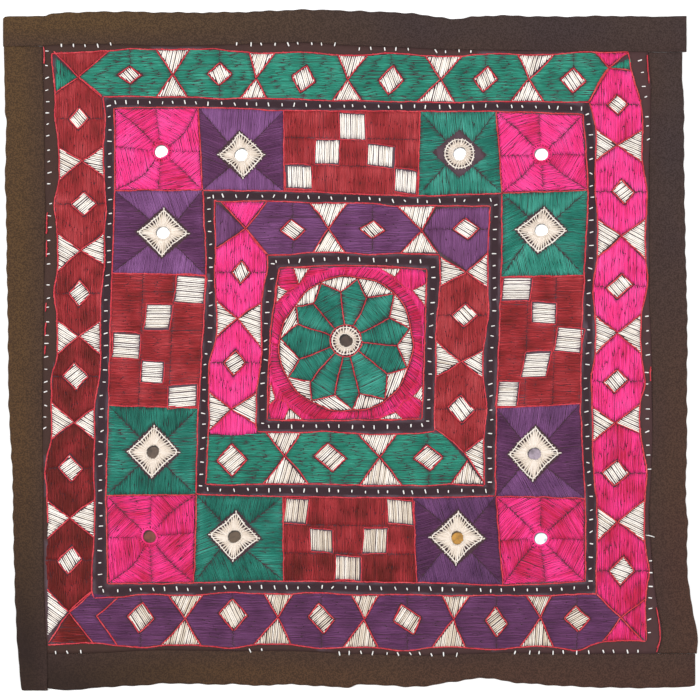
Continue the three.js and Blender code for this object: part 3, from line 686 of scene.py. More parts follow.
def blend(first, second, share):
    """Colours between two, point by point."""
    return first + (points(second) - first) * np.clip(share, 0, 1)[:, None]


def linear_light(colours):
    """Eight-bit screen values as amounts of light, by the usual curve."""
    share = np.asarray(colours) / 255
    return np.where(share <= 0.04045, share / 12.92, ((share + 0.055) / 1.055) ** 2.4)


# Stitches

# Columns of a stitch's row
START = slice(0, 2)
END = slice(2, 4)
WIDTH, SHADE, LIFT, END_LIFT, RISE = range(4, 9)
COLUMNS = 9


class Threads:
    """All stitches of one thread colour, as end points with widths, shades and heights."""

    def __init__(self, spread, end_share, end_length, sway, patches):
        self.rows = []
        self.spread = spread
        self.end_share = end_share
        self.end_length = end_length
        self.sway = sway
        # how strongly painted patches of sheen and shade lie over the stitches
        self.patches = patches

    def add(self, starts, ends, width, shade=MIDDLE_SHADE, lift=FIELD_LIFT, end_lift=None, rise=FIELD_RISE):
        starts, ends = points(starts), points(ends)
        count = len(starts)
        if count == 0:
            return
        row = np.empty((count, COLUMNS))
        row[:, START] = starts
        row[:, END] = ends
        row[:, WIDTH] = width * rng.uniform(*WIDTH_RANGE, count)
        row[:, SHADE] = shade + rng.normal(0, self.spread, count)
        row[:, LIFT] = lift + rng.uniform(*LIFT_RANGE, count)
        row[:, END_LIFT] = (lift if end_lift is None else end_lift) + rng.uniform(*LIFT_RANGE, count)
        row[:, RISE] = rise * rng.uniform(*RISE_RANGE, count)
        self.rows.append(row)

    def build(self, name):
        rows = np.vstack(self.rows)
        span = np.hypot(*(rows[:, END] - rows[:, START]).T)
        rows, span = rows[span > SHORTEST_STITCH], span[span > SHORTEST_STITCH]
        rings = np.clip(np.round(span / SECTION_PITCH).astype(int) + 2, *SECTIONS)
        rings = np.where(span < SHORT_STITCH, 2, rings)
        vertices, faces, shades, used = [], [], [], 0
        for count in np.unique(rings):
            group = rings == count
            made = stitch_mesh(self, rows[group], span[group], count)
            vertices.append(made)
            faces.append(stitch_faces(np.count_nonzero(group), count) + used)
            # Painted sheen: low patches of lighter and darker shade, as on satin stitches catching the light
            painted_sheen = self.patches * relief(*(SHEEN_PATCH_SCALE * made[:, :2]).T)
            shades.append(np.repeat(rows[group, SHADE], 3 * count + 2) + painted_sheen)
            used += len(made)
        piece = make_mesh(name, np.vstack(vertices), np.vstack(faces))
        set_attribute(piece, "shade", np.clip(np.concatenate(shades), 0, 1))
        plan_map(piece)
        return piece


# Form of a stitch: its end as a share of the width and its limits as shares of the length, the longest part
# over which it narrows, and how its arch rises from the ends to the middle
END_TAPER = 0.4
TAPER_LIMITS = (0.02, 0.25)
LONGEST_NARROWING = 0.4
ARCH_LOW = 0.55
ARCH_POWER = 0.6


def stitch_mesh(threads, rows, span, rings):
    """Points of closed half-round threads with pointed ends, each with that many sections of three points."""
    count = len(rows)
    start, end, width = rows[:, START], rows[:, END], rows[:, WIDTH]
    heading = (end - start) / span[:, None]
    left = leftward(heading)
    taper = np.clip(END_TAPER * width / span, *TAPER_LIMITS)
    shares, swell = np.linspace(0, 1, rings), SHORT_SWELL
    if rings > 2:
        near = np.minimum(threads.end_length / span, LONGEST_NARROWING)[:, None]
        between = near + (1 - 2 * near) * np.linspace(0, 1, rings - 2)
        shares = np.column_stack((np.zeros(count), between, np.ones(count)))
        narrow = rng.uniform(2 * threads.end_share - 1, 1, (count, 1))
        swell = narrow + (1 - narrow) * np.minimum(np.minimum(shares, 1 - shares) / near, 1)
    t = taper[:, None] + (1 - 2 * taper[:, None]) * shares
    sway = rng.normal(0, 1, (count, rings)) * threads.sway
    centre = start[:, None] + (end - start)[:, None] * t[..., None] + left[:, None] * sway[..., None]
    lift = rows[:, LIFT, None] * (1 - t) + rows[:, END_LIFT, None] * t
    floor = GROUND + relief(centre[..., 0], centre[..., 1]) + lift
    arch = ARCH_LOW + (1 - ARCH_LOW) * np.sin(math.pi * t) ** ARCH_POWER
    half = (width / 2)[:, None] * swell * rng.uniform(*SECTION_RANGE, (count, rings))
    sections = np.empty((count, rings, 3, 3))
    for point, aside in enumerate((1, 0, -1)):
        sections[:, :, point, :2] = centre + aside * left[:, None] * half[..., None]
        sections[:, :, point, 2] = floor
    sections[:, :, 1, 2] += rows[:, RISE, None] * arch
    tips = np.empty((count, 2, 3))
    for i, (place_of_tip, column) in enumerate(((start, LIFT), (end, END_LIFT))):
        tips[:, i, :2] = place_of_tip
        tips[:, i, 2] = GROUND + relief(*place_of_tip.T) + rows[:, column] - TIP_SINK
    return np.concatenate((tips[:, :1], sections.reshape(count, -1, 3), tips[:, 1:]), axis=1).reshape(-1, 3)


def stitch_faces(count, rings):
    last = 3 * rings + 1
    one = []
    for a, b in ((0, 1), (1, 2), (2, 0)):
        one.append((0, 1 + b, 1 + a))
        for ring in range(rings - 1):
            low = 1 + 3 * ring
            one.append((low + a, low + b, low + 3 + b))
            one.append((low + a, low + 3 + b, low + 3 + a))
        one.append((last, last - 3 + a, last - 3 + b))
    one = np.array(one)
    return (one[None] + (np.arange(count) * (last + 1))[:, None, None]).reshape(-1, 3)


THREADS = {colour: Threads(*FLOSS_LOOKS[colour][3:]) for colour in THREAD_COLOURS}


# Ways of stitching

EDGE_SHARE = 0.35  # of its width that the first stitch lies from the edge
MEAN_PITCH = 0.93  # of stitches side by side, as a share of their width
GAP_SHIFT = 0.5  # how far nearly even gaps stray, in stitches


def stitch_places(low, high, width, gap, often):
    """Places of stitches side by side from edge to edge, with gaps after that share of them."""
    span = high - low - 2 * EDGE_SHARE * width
    count = int(span / (MEAN_PITCH * width + gap * often)) + 1
    if count < 2:
        return np.array(((low + high) / 2,))
    gapped = rng.random(count - 1) < often
    if often > EVEN_GAPS:
        gapped = np.diff(np.floor(np.arange(count) * often + rng.uniform(0, GAP_SHIFT, count))) > 0
    gaps = np.where(gapped, gap, 0.0) * rng.uniform(*GAP_RANGE, count - 1)
    at = np.cumsum(width * rng.uniform(*PITCH_RANGE, count - 1) + gaps)
    return low + EDGE_SHARE * width + np.concatenate(([0.0], at)) * span / at[-1]


def crossed(loop, v):
    """Spans of a level line that lie inside a loop."""
    after = np.roll(loop, -1, axis=0)
    hit = (loop[:, 1] > v) != (after[:, 1] > v)
    a, b = loop[hit], after[hit]
    stops = np.sort(a[:, 0] + (v - a[:, 1]) * (b[:, 0] - a[:, 0]) / (b[:, 1] - a[:, 1]))
    return list(zip(stops[::2], stops[1::2]))


def without(spans, taken):
    """Spans of a line less the parts that are taken."""
    for low, high in taken:
        parts = [part for a, b in spans for part in ((a, min(b, low)), (max(a, high), b))]
        spans = [(a, b) for a, b in parts if b > a]
    return spans


SEAM_CLEARANCE = 1.5  # from a seam to the end of the line that it cuts
FIELD_MARGIN = 0.6  # from a field's edge to the ends of its stitches


def stitch_stops(start, end, longest):
    """Ends of the stitches on a stretch of line, which is broken where it is too long for one."""
    parts = max(1, int(math.ceil((end - start) / longest + rng.uniform(*BREAK_RANGE))))
    inner = start + (end - start) * (np.arange(1, parts) + rng.uniform(*BREAK_SHIFT, parts - 1)) / parts
    return np.concatenate(([start], inner, [end]))


def fill(colour, polygon, angle, holes=(), seam=None, shade=MIDDLE_SHADE, margin=FIELD_MARGIN, width=FLOSS):
    """Parallel stitches over a polygon, cut at its edges and holes and at a seam across them."""
    turn = np.array(((math.cos(angle), math.sin(angle)), (-math.sin(angle), math.cos(angle))))
    outline = inset(polygon, margin) @ turn.T
    holes = [inset(hole, -margin) @ turn.T for hole in holes]
    cut = None if seam is None else (turn @ points(seam))[0]
    rows = []
    often, gap, longest = FLOSS_LOOKS[colour][:3]
    for v in stitch_places(outline[:, 1].min(), outline[:, 1].max(), width, gap, often):
        spans = crossed(outline, v)
        for hole in holes:
            spans = without(spans, crossed(hole, v))
        for a, b in spans:
            marks = [a, b]
            if cut is not None and a + SEAM_CLEARANCE < cut < b - SEAM_CLEARANCE:
                marks.insert(1, cut + rng.normal(0, SEAM_STRAY))
            for c, d in zip(marks[:-1], marks[1:]):
                stops = stitch_stops(c, d, longest)
                rows += [(e, v, f, v) for e, f in zip(stops[:-1], stops[1:])]
    if not rows:
        return
    rows = np.array(rows)
    rows[:, [0, 2]] += rng.normal(0, END_STRAY, (len(rows), 2))
    rows[:, [1, 3]] += rng.normal(0, SIDE_STRAY, (len(rows), 2))
    THREADS[colour].add(rows[:, :2] @ turn, rows[:, 2:] @ turn, width, shade)


RUNG_GAP = 0.36  # between stitches of the flower's ring, after that share of them
RUNG_OFTEN = 0.3
SHORTEST_RUNG = 1.2
RUNG_TRIM = 0.3  # how far they stay from the ring's edges
TRIM_RANGE = (0.2, 1.8)


def ladder(colour, first, second, shade):
    """Stitches from one path to another, side by side along both."""
    span = min(lengths(first)[-1], lengths(second)[-1])
    shares = stitch_places(0.0, span, FLOSS, RUNG_GAP, RUNG_OFTEN) / span
    starts, ends = along_path(first, shares), along_path(second, shares)
    reach = np.hypot(*(ends - starts).T)
    wanted = reach > SHORTEST_RUNG
    trim = RUNG_TRIM / np.maximum(reach, SHORTEST_RUNG)[:, None] * rng.uniform(*TRIM_RANGE, (len(starts), 1))
    trimmed = (ends - starts) * trim
    THREADS[colour].add((starts + trimmed)[wanted], (ends - trimmed)[wanted], FLOSS, shade)


LINE_BOW = 0.018  # how far a line strays from straight, as a share of its length


def bowed(a, b, share=LINE_BOW):
    """A line between two points that isn't quite straight."""
    a, b = points(a), points(b)
    side = np.array((a[1] - b[1], b[0] - a[0]))
    return np.vstack((a, (a + b) / 2 + side * rng.normal(0, share), b))


def stem_round(shape, width, lift=LINE_LIFT):
    """An outline with sharp corners round a shape."""
    for a, b in corner_pairs(points(shape)):
        stem(bowed(a, b), width=width, lift=lift)


SHORTEST_RUN = 0.5
START_STRAY = 0.15  # of the first outline stitch, and of their slant
SLANT_STRAY = 0.12


def stem(path, width=OUTLINE, colour="red", advance=STEM_ADVANCE, reach=STEM_REACH, shade=MIDDLE_SHADE,
         lift=LINE_LIFT, waver=STEM_WAVER):
    """A line of slanting, overlapping outline stitches that wavers from its path."""
    path = smooth(path)
    run = lengths(path)[-1]
    starts = np.arange(0, max(run - reach / 2, SHORTEST_RUN), advance) + rng.normal(0, START_STRAY)
    a = along_path(path, np.clip(starts / run, 0, 1))
    b = along_path(path, np.clip((starts + reach) / run, 0, 1))
    heading = b - a
    heading /= np.maximum(np.hypot(*heading.T), 1e-6)[:, None]
    left = leftward(heading)
    slant = STEM_SLANT + rng.normal(0, SLANT_STRAY, len(a))
    knots = np.arange(0, run + WAVER_PITCH, WAVER_PITCH)
    aside = rng.normal(0, waver, len(knots))
    a += left * (np.interp(starts, knots, aside) + slant)[:, None]
    b += left * (np.interp(starts + reach, knots, aside) - slant)[:, None]
    width = width * rng.uniform(*LINE_RANGE, len(a))
    THREADS[colour].add(a, b, width, shade, lift=lift, rise=LINE_RISE)


# Running stitches: place of the first in its pitch, how far they stray along and across the line and turn
# from it, the nearest to an end of the line, their lengths' range and their shade
FIRST_TICK = 0.35
TICK_STRAY = 0.9
TICK_OFFSET = 0.35
TICK_TURN = (0.12, 0.2)
TICK_CLEARANCE = 0.5
TICK_RANGE = (0.75, 1.2)
TICK_SHADE = 0.6


def ticks(path, lift=0.0):
    """Running stitches that lie across a path."""
    path = points(path)
    run = lengths(path)[-1]
    at = np.arange(TICK_PITCH * FIRST_TICK, run, TICK_PITCH)
    at = np.clip(at + rng.normal(0, TICK_STRAY, len(at)), TICK_CLEARANCE, run - TICK_CLEARANCE)
    middle = along_path(path, at / run)
    ahead = along_path(path, np.minimum(at + 1, run) / run) - along_path(path, np.maximum(at - 1, 0) / run)
    angle = np.arctan2(ahead[:, 1], ahead[:, 0]) + math.pi / 2 + rng.normal(*TICK_TURN, len(at))
    reach = (TICK_LENGTH / 2 * rng.uniform(*TICK_RANGE, len(at)))[:, None]
    half = reach * compass(angle)
    middle += rng.normal(0, TICK_OFFSET, middle.shape)
    THREADS["running"].add(middle - half, middle + half, RUNNING, TICK_SHADE, lift=lift, rise=RUNNING_RISE)


# Fields of the pattern

CORNER_FIELD_MARGIN = 0.9
DIAMOND_MARGIN = 0.8
DIAMOND_INSET = 0.3  # of its outline
DIAMOND_GLEAM = 0.06  # how much lighter the small diamonds are than the triangles
SLANT_SPREAD = 5  # of the triangles' stitches in degrees
INNER_CORNER_SHADE = 0.8
FOOT_MARGIN = 0.3
FOOT_SHADE = 0.55


def stitch_bands():
    for number, (along, colour, crossings, diamonds) in enumerate(BANDS):
        heading = 0.0 if along == "x" else math.pi / 2
        for index, crossing in enumerate(crossings):
            stitch_crossing(number, index, along, crossing)
        for index, diamond in enumerate(diamonds):
            stitch_lozenge(index, along, colour, crossings, diamond, heading)


def stitch_crossing(number, index, along, crossing):
    tip = points(place(along, *crossing[:2]))
    for turn, (side, first) in enumerate((("outer", OUTER_BASE), ("inner", INNER_BASE))):
        start, end, across = crossing[first:first + 3]
        base = points((place(along, start, across), place(along, end, across)))
        for foot in (0,) if start == end else (0, 1):
            if (number, index, side, foot) not in SKIPPED_LINES:
                stem(bowed(base[foot], tip))
        if start == end:
            continue
        shape = np.vstack((base, tip))
        if side == "outer" and (number, index) in CORNER_FIELDS:
            colour, angle = CORNER_FIELDS[number, index]
            shade = MIDDLE_SHADE + field_fade(colour, tip)
            fill(colour, shape, math.radians(angle), margin=CORNER_FIELD_MARGIN, shade=shade)
        else:
            angle = TRIANGLE_SLANTS[number][turn] + rng.normal(0, SLANT_SPREAD)
            fill("white", shape, math.radians(angle), shade=white_shade(tip), width=WHITE_FLOSS)


def stitch_diamond(tips, slant):
    stem_round(inset(tips, DIAMOND_INSET), DIAMOND_LINE)
    shade = white_shade(tips.mean(axis=0)) + DIAMOND_GLEAM
    fill("white", tips, math.radians(slant), shade=shade, margin=DIAMOND_MARGIN, width=WHITE_FLOSS)


def stitch_lozenge(index, along, colour, crossings, diamond, heading):
    a, b, _, outer_to, outer_at, _, inner_to, inner_at = crossings[index]
    c, d, outer_from, _, next_outer, inner_from, _, next_inner = crossings[index + 1]
    outer = [place(along, outer_to, outer_at), place(along, outer_from, next_outer)]
    inner = [place(along, inner_from, next_inner), place(along, inner_to, inner_at)]
    shade = MIDDLE_SHADE + field_fade(colour, place(along, (a + c) / 2, b))
    if diamond is None:
        fill(colour, [place(along, a, b), *outer, place(along, c, d), *inner], heading, shade=shade)
        return
    *middle, _, _, _, _, outer_line, inner_line, slant = diamond
    at = middle[0 if along == "x" else 1]
    outer.insert(1, place(along, at, outer_line))
    inner.insert(1, place(along, at, inner_line))
    outline = [place(along, a, b), *outer, place(along, c, d), *inner]
    tips = diamond_tips(*diamond)
    fill(colour, outline, heading, holes=(tips,), seam=middle, shade=shade)
    stitch_diamond(tips, slant)


# Places where the fading of the cloth changes
LEFT_FRAME = -215
RIGHT_FRAME = 205
INNER_LEFT = -70
INNER_TOP = 110
LOWER_SQUARES = -110
SIDE_SQUARES = 130
# Fading: change of shade for each millimetre up the cloth, where it starts from, and its limits
LEFT_MAROON_FADE = (0.0026, 90, -0.42, 0.02)
MAROON_FADE = (0.0024, 0.156, 0.06)
SIDE_MAROON_FADE = -0.08
# On the right: middle and half height of the brightest part, its shade and the least
RIGHT_PINK_FADE = (80, 300, 0.12, -0.3)
LEFT_PINK_FADES = (-0.23, 0.03)  # below the checkers, and above
PINK_FADE = (0.0005, -0.06)
PURPLE_FADES = (-0.06, 0.2)  # in the lower half and in the upper
VIOLET_FADES = (0.03, -0.2, -0.36)  # in the upper half, at the lower right and at the lower left
GREEN_FADES = (-0.18, -0.08)
GREEN_SPREAD = 0.04
YELLOWED = ((-150, -50), (0.22, 0.52))  # heights, and shades of the white threads there


def field_fade(colour, where):
    """How much lighter a field is than its colour's middle shade, as the cloth has faded unevenly."""
    x, y = where
    if colour == "maroon" and x < LEFT_FRAME:
        slope, level, least, most = LEFT_MAROON_FADE
        return np.clip(slope * (y - level), least, most)
    if colour == "maroon":
        slope, level, most = MAROON_FADE
        return min(most, level + slope * y) + (SIDE_MAROON_FADE if abs(x) > SIDE_SQUARES else 0.0)
    if colour == "pink" and x > RIGHT_FRAME:
        middle, half, most, least = RIGHT_PINK_FADE
        return max(most - ((y - middle) / half) ** 2, least)
    if colour == "pink" and x < INNER_LEFT and y < INNER_TOP:
        return LEFT_PINK_FADES[0 if y < LOWER_SQUARES else 1]
    if colour == "pink":
        slope, level = PINK_FADE
        return slope * y + level
    if colour == "purple":
        return PURPLE_FADES[0 if y < 0 else 1]
    if colour == "violet":
        return VIOLET_FADES[0 if y > 0 else 1 if x > SIDE_SQUARES else 2]
    return rng.normal(GREEN_FADES[1 if y > 0 else 0], GREEN_SPREAD)


def white_shade(where):
    """Shade of the white threads, which have yellowed towards the lower edge."""
    x, y = where
    return MIDDLE_SHADE if abs(x) > RIGHT_FRAME else np.interp(y, *YELLOWED)


def stitch_inner_corners():
    tips = diamond_tips(*INNER_CORNER_DIAMOND)
    fill("purple", INNER_CORNER, math.pi / 2, holes=(tips,), seam=INNER_CORNER_DIAMOND[:2],
         shade=INNER_CORNER_SHADE)
    stitch_diamond(tips, INNER_CORNER_DIAMOND[-1])
    fill("pink", INNER_FOOT, math.pi / 2, margin=FOOT_MARGIN, shade=FOOT_SHADE)


# Squares

def divider_ends(side, index):
    row = DIVIDERS[side][index]
    axis = side_axis(side)
    return points((place(axis, row[0], row[1]), place(axis, row[2], row[3])))


def stitch_squares():
    for index, (name, ends) in enumerate(CORNER_SQUARES.items()):
        before, after = (divider_ends(*end)[0] for end in ends)
        stitch_pink_square(index, name, points((before, SQUARE_OUTER[index], after, SQUARE_INNER[index])))
    for side in SIDES:
        for index in range(4):
            stem(divider_ends(side, index))
        for index, kind in enumerate(SQUARES[side]):
            outer_a, inner_a = divider_ends(side, index)
            outer_b, inner_b = divider_ends(side, index + 1)
            corners = points((outer_a, outer_b, inner_b, inner_a))
            if kind == "checker":
                stitch_checker(side, corners)
            else:
                floss = "teal" if kind == "green" else "violet"
                stitch_mirror_square(f"mirror_{side}_{kind}", corners, floss)


def mirror_centre(name):
    low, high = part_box(name)
    return points(((low.x + high.x) / 2, (low.y + high.y) / 2)) / MM


GLASS_WAVES = ((0.35, 2), (0.15, 3))  # height of its edge's waves, and how many there are
HOLD_STEP = 12.0  # degrees between the points of the ring that holds a mirror
HOLD_SPREAD = 0.9  # from the free glass to the middle of the ring
HOLD_LINE = {"advance": 1.4, "reach": 3.2, "lift": 1.4, "waver": 0.0}


def glass_edge(centre, angles):
    """Radius of the glass that its uneven ring of stitches leaves free."""
    radius = MIRROR_EDGE
    for (height, waves), shift in zip(GLASS_WAVES, centre):
        radius = radius + height * np.sin(waves * angles + shift)
    return radius


def round_mirror(colour, centre, width, shade=MIDDLE_SHADE):
    """The raised ring of stitches that holds a mirror."""
    angles = np.radians(np.arange(0, 361, HOLD_STEP))
    radius = glass_edge(centre, angles) + HOLD_SPREAD
    path = centre + radius[:, None] * compass(angles)
    stem(path, width=width, colour=colour, shade=shade, **HOLD_LINE)


# Pink squares
SQUARE_INSET = 0.9
SECTOR_BOW = 0.07  # of the seams between the sectors
SECTOR_STEP = 2.0
SECTOR_STRAY = 0.03  # of the middles of the square's sides
SECTOR_MARGIN = 0.05
# Painted sheen of most sectors, and painted shade of the darker ones, by the direction of their stitches
SECTOR_PAINTED_SHEEN = 0.04
SECTOR_PAINTED_SHADE = -0.15
SPOKE_TURN = 0.02  # how far the spokes stray, in radians
SPOKE_OVER = 0.5  # how far they reach over the glass, and past the ring
SPOKE_PAST = 0.9
PINK_SPOKE = {"width": 1.05, "shade": 0.28, "lift": 1.35, "end_lift": 0.1, "rise": RIM_RISE}
PINK_HOLD = 1.5
PINK_HOLD_SHADE = 0.32


def stitch_pink_square(number, name, corners):
    """Eight sectors of slanting stitches round a mirror with a narrow ring."""
    centre = mirror_centre("mirror_corner_" + name)
    shape = inset(corners, SQUARE_INSET)[::-1]
    seams = [smooth(bowed(centre, corner, SECTOR_BOW), SECTOR_STEP) for corner in shape]
    seams = [seam[np.hypot(*(seam - centre).T) > PINK_RING] for seam in seams]
    shade = MIDDLE_SHADE + field_fade("pink", centre)
    for edge in range(4):
        ends = edge, (edge + 1) % 4
        middle = shape[ends[0]] + (shape[ends[1]] - shape[ends[0]]) * (0.5 + rng.normal(0, SECTOR_STRAY))
        root = centre + (middle - centre) * PINK_RING / np.hypot(*(middle - centre))
        for which, end in enumerate(ends):
            slip = shape[ends[1 - which]] - shape[end]
            slip *= SECTOR_OVERLAP / np.hypot(*slip)
            sector = np.vstack((root + slip, middle + slip, seams[end][::-1]))
            turn = (2 * (number + edge) + which) % 8
            # Painted light of the sector: sheen, and shade for the listed darker ones
            painted_light = SECTOR_PAINTED_SHADE if turn in SHADED_SECTORS[name] else SECTOR_PAINTED_SHEEN
            angle = math.radians(PINK_STROKES[name][turn])
            fill("pink", sector, angle, shade=shade + painted_light, margin=SECTOR_MARGIN, width=PINK_FLOSS)
    angles = np.linspace(0, 2 * math.pi, PINK_SPOKES, endpoint=False) + rng.normal(0, SPOKE_TURN, PINK_SPOKES)
    spoke = compass(angles)
    near = (glass_edge(centre, angles) - SPOKE_OVER)[:, None]
    THREADS["pink"].add(centre + spoke * near, centre + spoke * (PINK_RING + SPOKE_PAST), **PINK_SPOKE)
    round_mirror("pink", centre, PINK_HOLD, PINK_HOLD_SHADE)


# Squares with a diamond of buttonhole stitches
MIRROR_FIELD_MARGIN = 0.15
TEAL_UPRIGHT_SHEEN = 0.0008  # painted sheen of the upright teal sectors: change of shade for each millimetre to the upper right
# Painted sheen of the upright violet sectors, and the shade of their side sectors, which take the darker
# purple as painted shade
VIOLET_UPRIGHT_SHEEN = 0.08
PURPLE_SHADED_SIDE = 0.46
RIM_SHADE = 0.85
RIM_STEP = 6.0  # degrees between the points of a round rim
DIAMOND_BOW = 0.03
TAIL_RANGE = (0.2, 1.3)
TAIL_STRAY = 0.4
TAIL = {"shade": RIM_SHADE, "lift": 0.4, "rise": RIM_RISE}
SPOKE_SHIFT = (-0.15, 0.15)
GLASS_OVERLAP = 0.4
GLASS_STRAY = 0.2
RIM_STRAY = 0.3
SPOKE_SLANT = 0.16
INNER_LIFT = 1.3  # of the spokes over the glass, and at the rim for short and long ones
CLOSE_LIFT = 0.2
LONG_LIFT = 0.35
PURL_STRAY = 0.26
PURL_LINE = {"width": 1.2, "advance": 1.7, "reach": 3.3, "lift": 0.5, "waver": 0.12}
CREAM_HOLD = 1.4


def stitch_mirror_square(name, corners, colour):
    centre = mirror_centre(name)
    tips = diamond_tips(*centre, *MIRROR_DIAMONDS[name])
    free = centre + (tips - centre) * (1.0 if name == BARE_DIAMOND else BARE_ROUND)
    edges = (free + np.roll(free, -1, axis=0)) / 2
    for index in range(4):
        a, b = corners[index], corners[(index + 1) % 4]
        middle = (a + b) / 2
        tip = free[np.argmin(np.hypot(*(free - middle).T))]
        near_a = edges[np.argmin(np.hypot(*(edges - a).T))]
        near_b = edges[np.argmin(np.hypot(*(edges - b).T))]
        across = tip - middle
        heading = math.atan2(across[1], across[0])
        upright = abs(across[1]) > abs(across[0])
        # Painted sheen on the upright sectors; the violet squares' side sectors take the darker purple as
        # painted shade, by the stitches' direction
        floss, shade = colour, MIDDLE_SHADE
        if colour == "teal":
            shade += TEAL_UPRIGHT_SHEEN * centre.sum() if upright else 0.0
        elif upright:
            shade += VIOLET_UPRIGHT_SHEEN + field_fade("violet", centre)
        else:
            floss, shade = "purple", PURPLE_SHADED_SIDE + field_fade("violet", centre) / 2
        fill(floss, (a, b, near_b, tip, near_a), heading, shade=shade, margin=MIRROR_FIELD_MARGIN)
    if name == BARE_DIAMOND:
        buttonhole(centre, circle_of(centre, ROUND_RING, RIM_STEP), ROUND_HOLE)
    else:
        sides = [bowed(a, b, DIAMOND_BOW)[:2] for a, b in corner_pairs(tips)]
        buttonhole(centre, closed(np.vstack(sides)), DIAMOND_HOLE)
        outward = unit(tips - centre)
        tails = tips + outward * TIP_TAIL * rng.uniform(*TAIL_RANGE, (4, 1))
        tails += rng.normal(0, TAIL_STRAY, (4, 2))
        THREADS["cream"].add(tips - outward, tails, SPOKE, **TAIL)


def spokes_to(centre, rim, pitch):
    """Directions from a mirror's centre to places on a rim, and the distances to its glass and to the rim."""
    count = int(lengths(rim)[-1] / pitch)
    spoke = along_path(rim, (np.arange(count) + rng.uniform(*SPOKE_SHIFT, count)) / count) - centre
    far = np.hypot(*spoke.T)
    spoke /= far[:, None]
    near = glass_edge(centre, np.arctan2(spoke[:, 1], spoke[:, 0]))
    return spoke, near - GLASS_OVERLAP + rng.normal(0, GLASS_STRAY, count), far


def buttonhole(centre, rim, hole):
    """Close cream spokes round a mirror, and longer ones past a corded rim, with holes of that length."""
    close = CLOSE_PITCH, CLOSE_SPOKE, -hole, CLOSE_LIFT
    long = BUTTONHOLE_PITCH, SPOKE, TOOTH, LONG_LIFT
    for pitch, width, past, lift in (close, long):
        spoke, near, far = spokes_to(centre, rim, pitch)
        reach = far + past + rng.normal(0, RIM_STRAY, len(far))
        turned = spoke + SPOKE_SLANT * leftward(spoke)
        THREADS["cream"].add(centre + turned * near[:, None], centre + spoke * reach[:, None], width,
                            lift=INNER_LIFT, end_lift=lift, rise=SPOKE_RISE)
    cord = far - PURL_INSET + rng.normal(0, PURL_STRAY, len(far))
    stem(closed(centre + spoke * cord[:, None]), colour="cream", shade=RIM_SHADE, **PURL_LINE)
    round_mirror("cream", centre, CREAM_HOLD)


def cell_corners(x, y, half_width, half_height, lean, drop):
    """Corners of a slanted box, clockwise from the upper left."""
    return points((
        (x - half_width + lean, y + half_height + drop), (x + half_width + lean, y + half_height - drop),
        (x + half_width - lean, y - half_height - drop), (x - half_width - lean, y - half_height + drop)))


CELL_MARGIN = 0.4
CELL_RIM = 0.7  # from a white cell out to its outline
CELL_GAP = 0.5  # and to the maroon stitches
CELL_LIFT = 0.3
BARE_RANGE = (0, 0.16)  # share of a cell that is left bare along one side
CHECKER_MARGIN = -0.05
ROW_SPREAD = 0.04  # of the rows' shades
BARE_EDGES = {"top": ([1, 2], [0, 3]), "right": ([2, 3], [0, 1])}


def stitch_checker(side, corners):
    """Rows of maroon stitches with white cells, each left bare along one side."""
    outer_a, outer_b, inner_b, inner_a = corners
    upright = side in ("top", "bottom")
    heading = math.pi / 2 if upright else 0.0
    cells = [cell_corners(*cell) for cell in CHECKER_CELLS[side]]
    for cell in cells:
        bare_edge = BARE_EDGES["top" if upright else "right"][rng.integers(2)]
        parted = cell.copy()
        parted[bare_edge] += (cell.mean(axis=0) - cell[bare_edge].mean(axis=0)) * rng.uniform(*BARE_RANGE)
        a, b, c, d = parted
        slope = a + b - c - d if upright else b + c - a - d
        angle = math.atan2(slope[1], slope[0])
        shade = white_shade(cell.mean(axis=0))
        fill("white", parted, angle, shade=shade, margin=CELL_MARGIN, width=WHITE_FLOSS)
        stem_round(inset(cell, -CELL_RIM), CELL_LINE, lift=CELL_LIFT)
    holes = [inset(cell, -CELL_GAP) for cell in cells]
    for row in range(CHECKER_ROWS):
        near, far = row / CHECKER_ROWS, (row + 1) / CHECKER_ROWS
        run = points((
            outer_a + (inner_a - outer_a) * near, outer_b + (inner_b - outer_b) * near,
            outer_b + (inner_b - outer_b) * far, outer_a + (inner_a - outer_a) * far))
        shade = MIDDLE_SHADE + field_fade("maroon", run.mean(axis=0)) + rng.normal(0, ROW_SPREAD)
        fill("maroon", run, heading, holes=holes, shade=shade, margin=CHECKER_MARGIN)


# Centre flower

PETAL_MARGIN = 0.4
PETAL_SWING = 0.06  # of the petals' stitches, in radians
TIP_OVER = 0.6  # how far the rim runs outside the petals' tips
CENTRE_INSET = 0.6  # of the centre's cream ring
CENTRE_LINE_OUT = 0.8  # and of the red line round it
CENTRE_STEP = 8.0
FLOWER_STEP = 3.0  # degrees between the points of the pink ring
RING_INSIDE = 0.5  # from the flower's rim to the pink ring, and from the ring to the square's line
RING_EDGE = 0.9
CORNER_TURN = 46  # degrees to both sides of a corner in which the ring has its radius, and its shade
RING_TURN = 49
BEHIND_CORNER = 1.5  # how far past the ring the square's line lies in a corner
RING_WAVES = 7  # of the ring's outer edge
RING_STRAY = 1.2
CORNER_START = 2.0  # how far inside the ring's outer edge a corner's field starts
CORNER_OVERLAP = 2.5  # of a corner's field over the ring, and from the square's line
CORNER_EDGE = 1.5
PATCH_MARGIN = 0.2
PATCH_RIM = 0.3  # from a patch out to its outline
PATCH_LIFT = 0.3
CORNER_LIFT = 0.4


def round_flower(distance, turn):
    """Uneven places round the flower, clockwise from a direction in degrees."""
    angles = np.radians(turn - np.arange(PETALS) * 360 / PETALS)
    spoke = compass(angles)
    return CIRCLE + spoke * distance + rng.normal(0, PETAL_UNEVEN, spoke.shape)


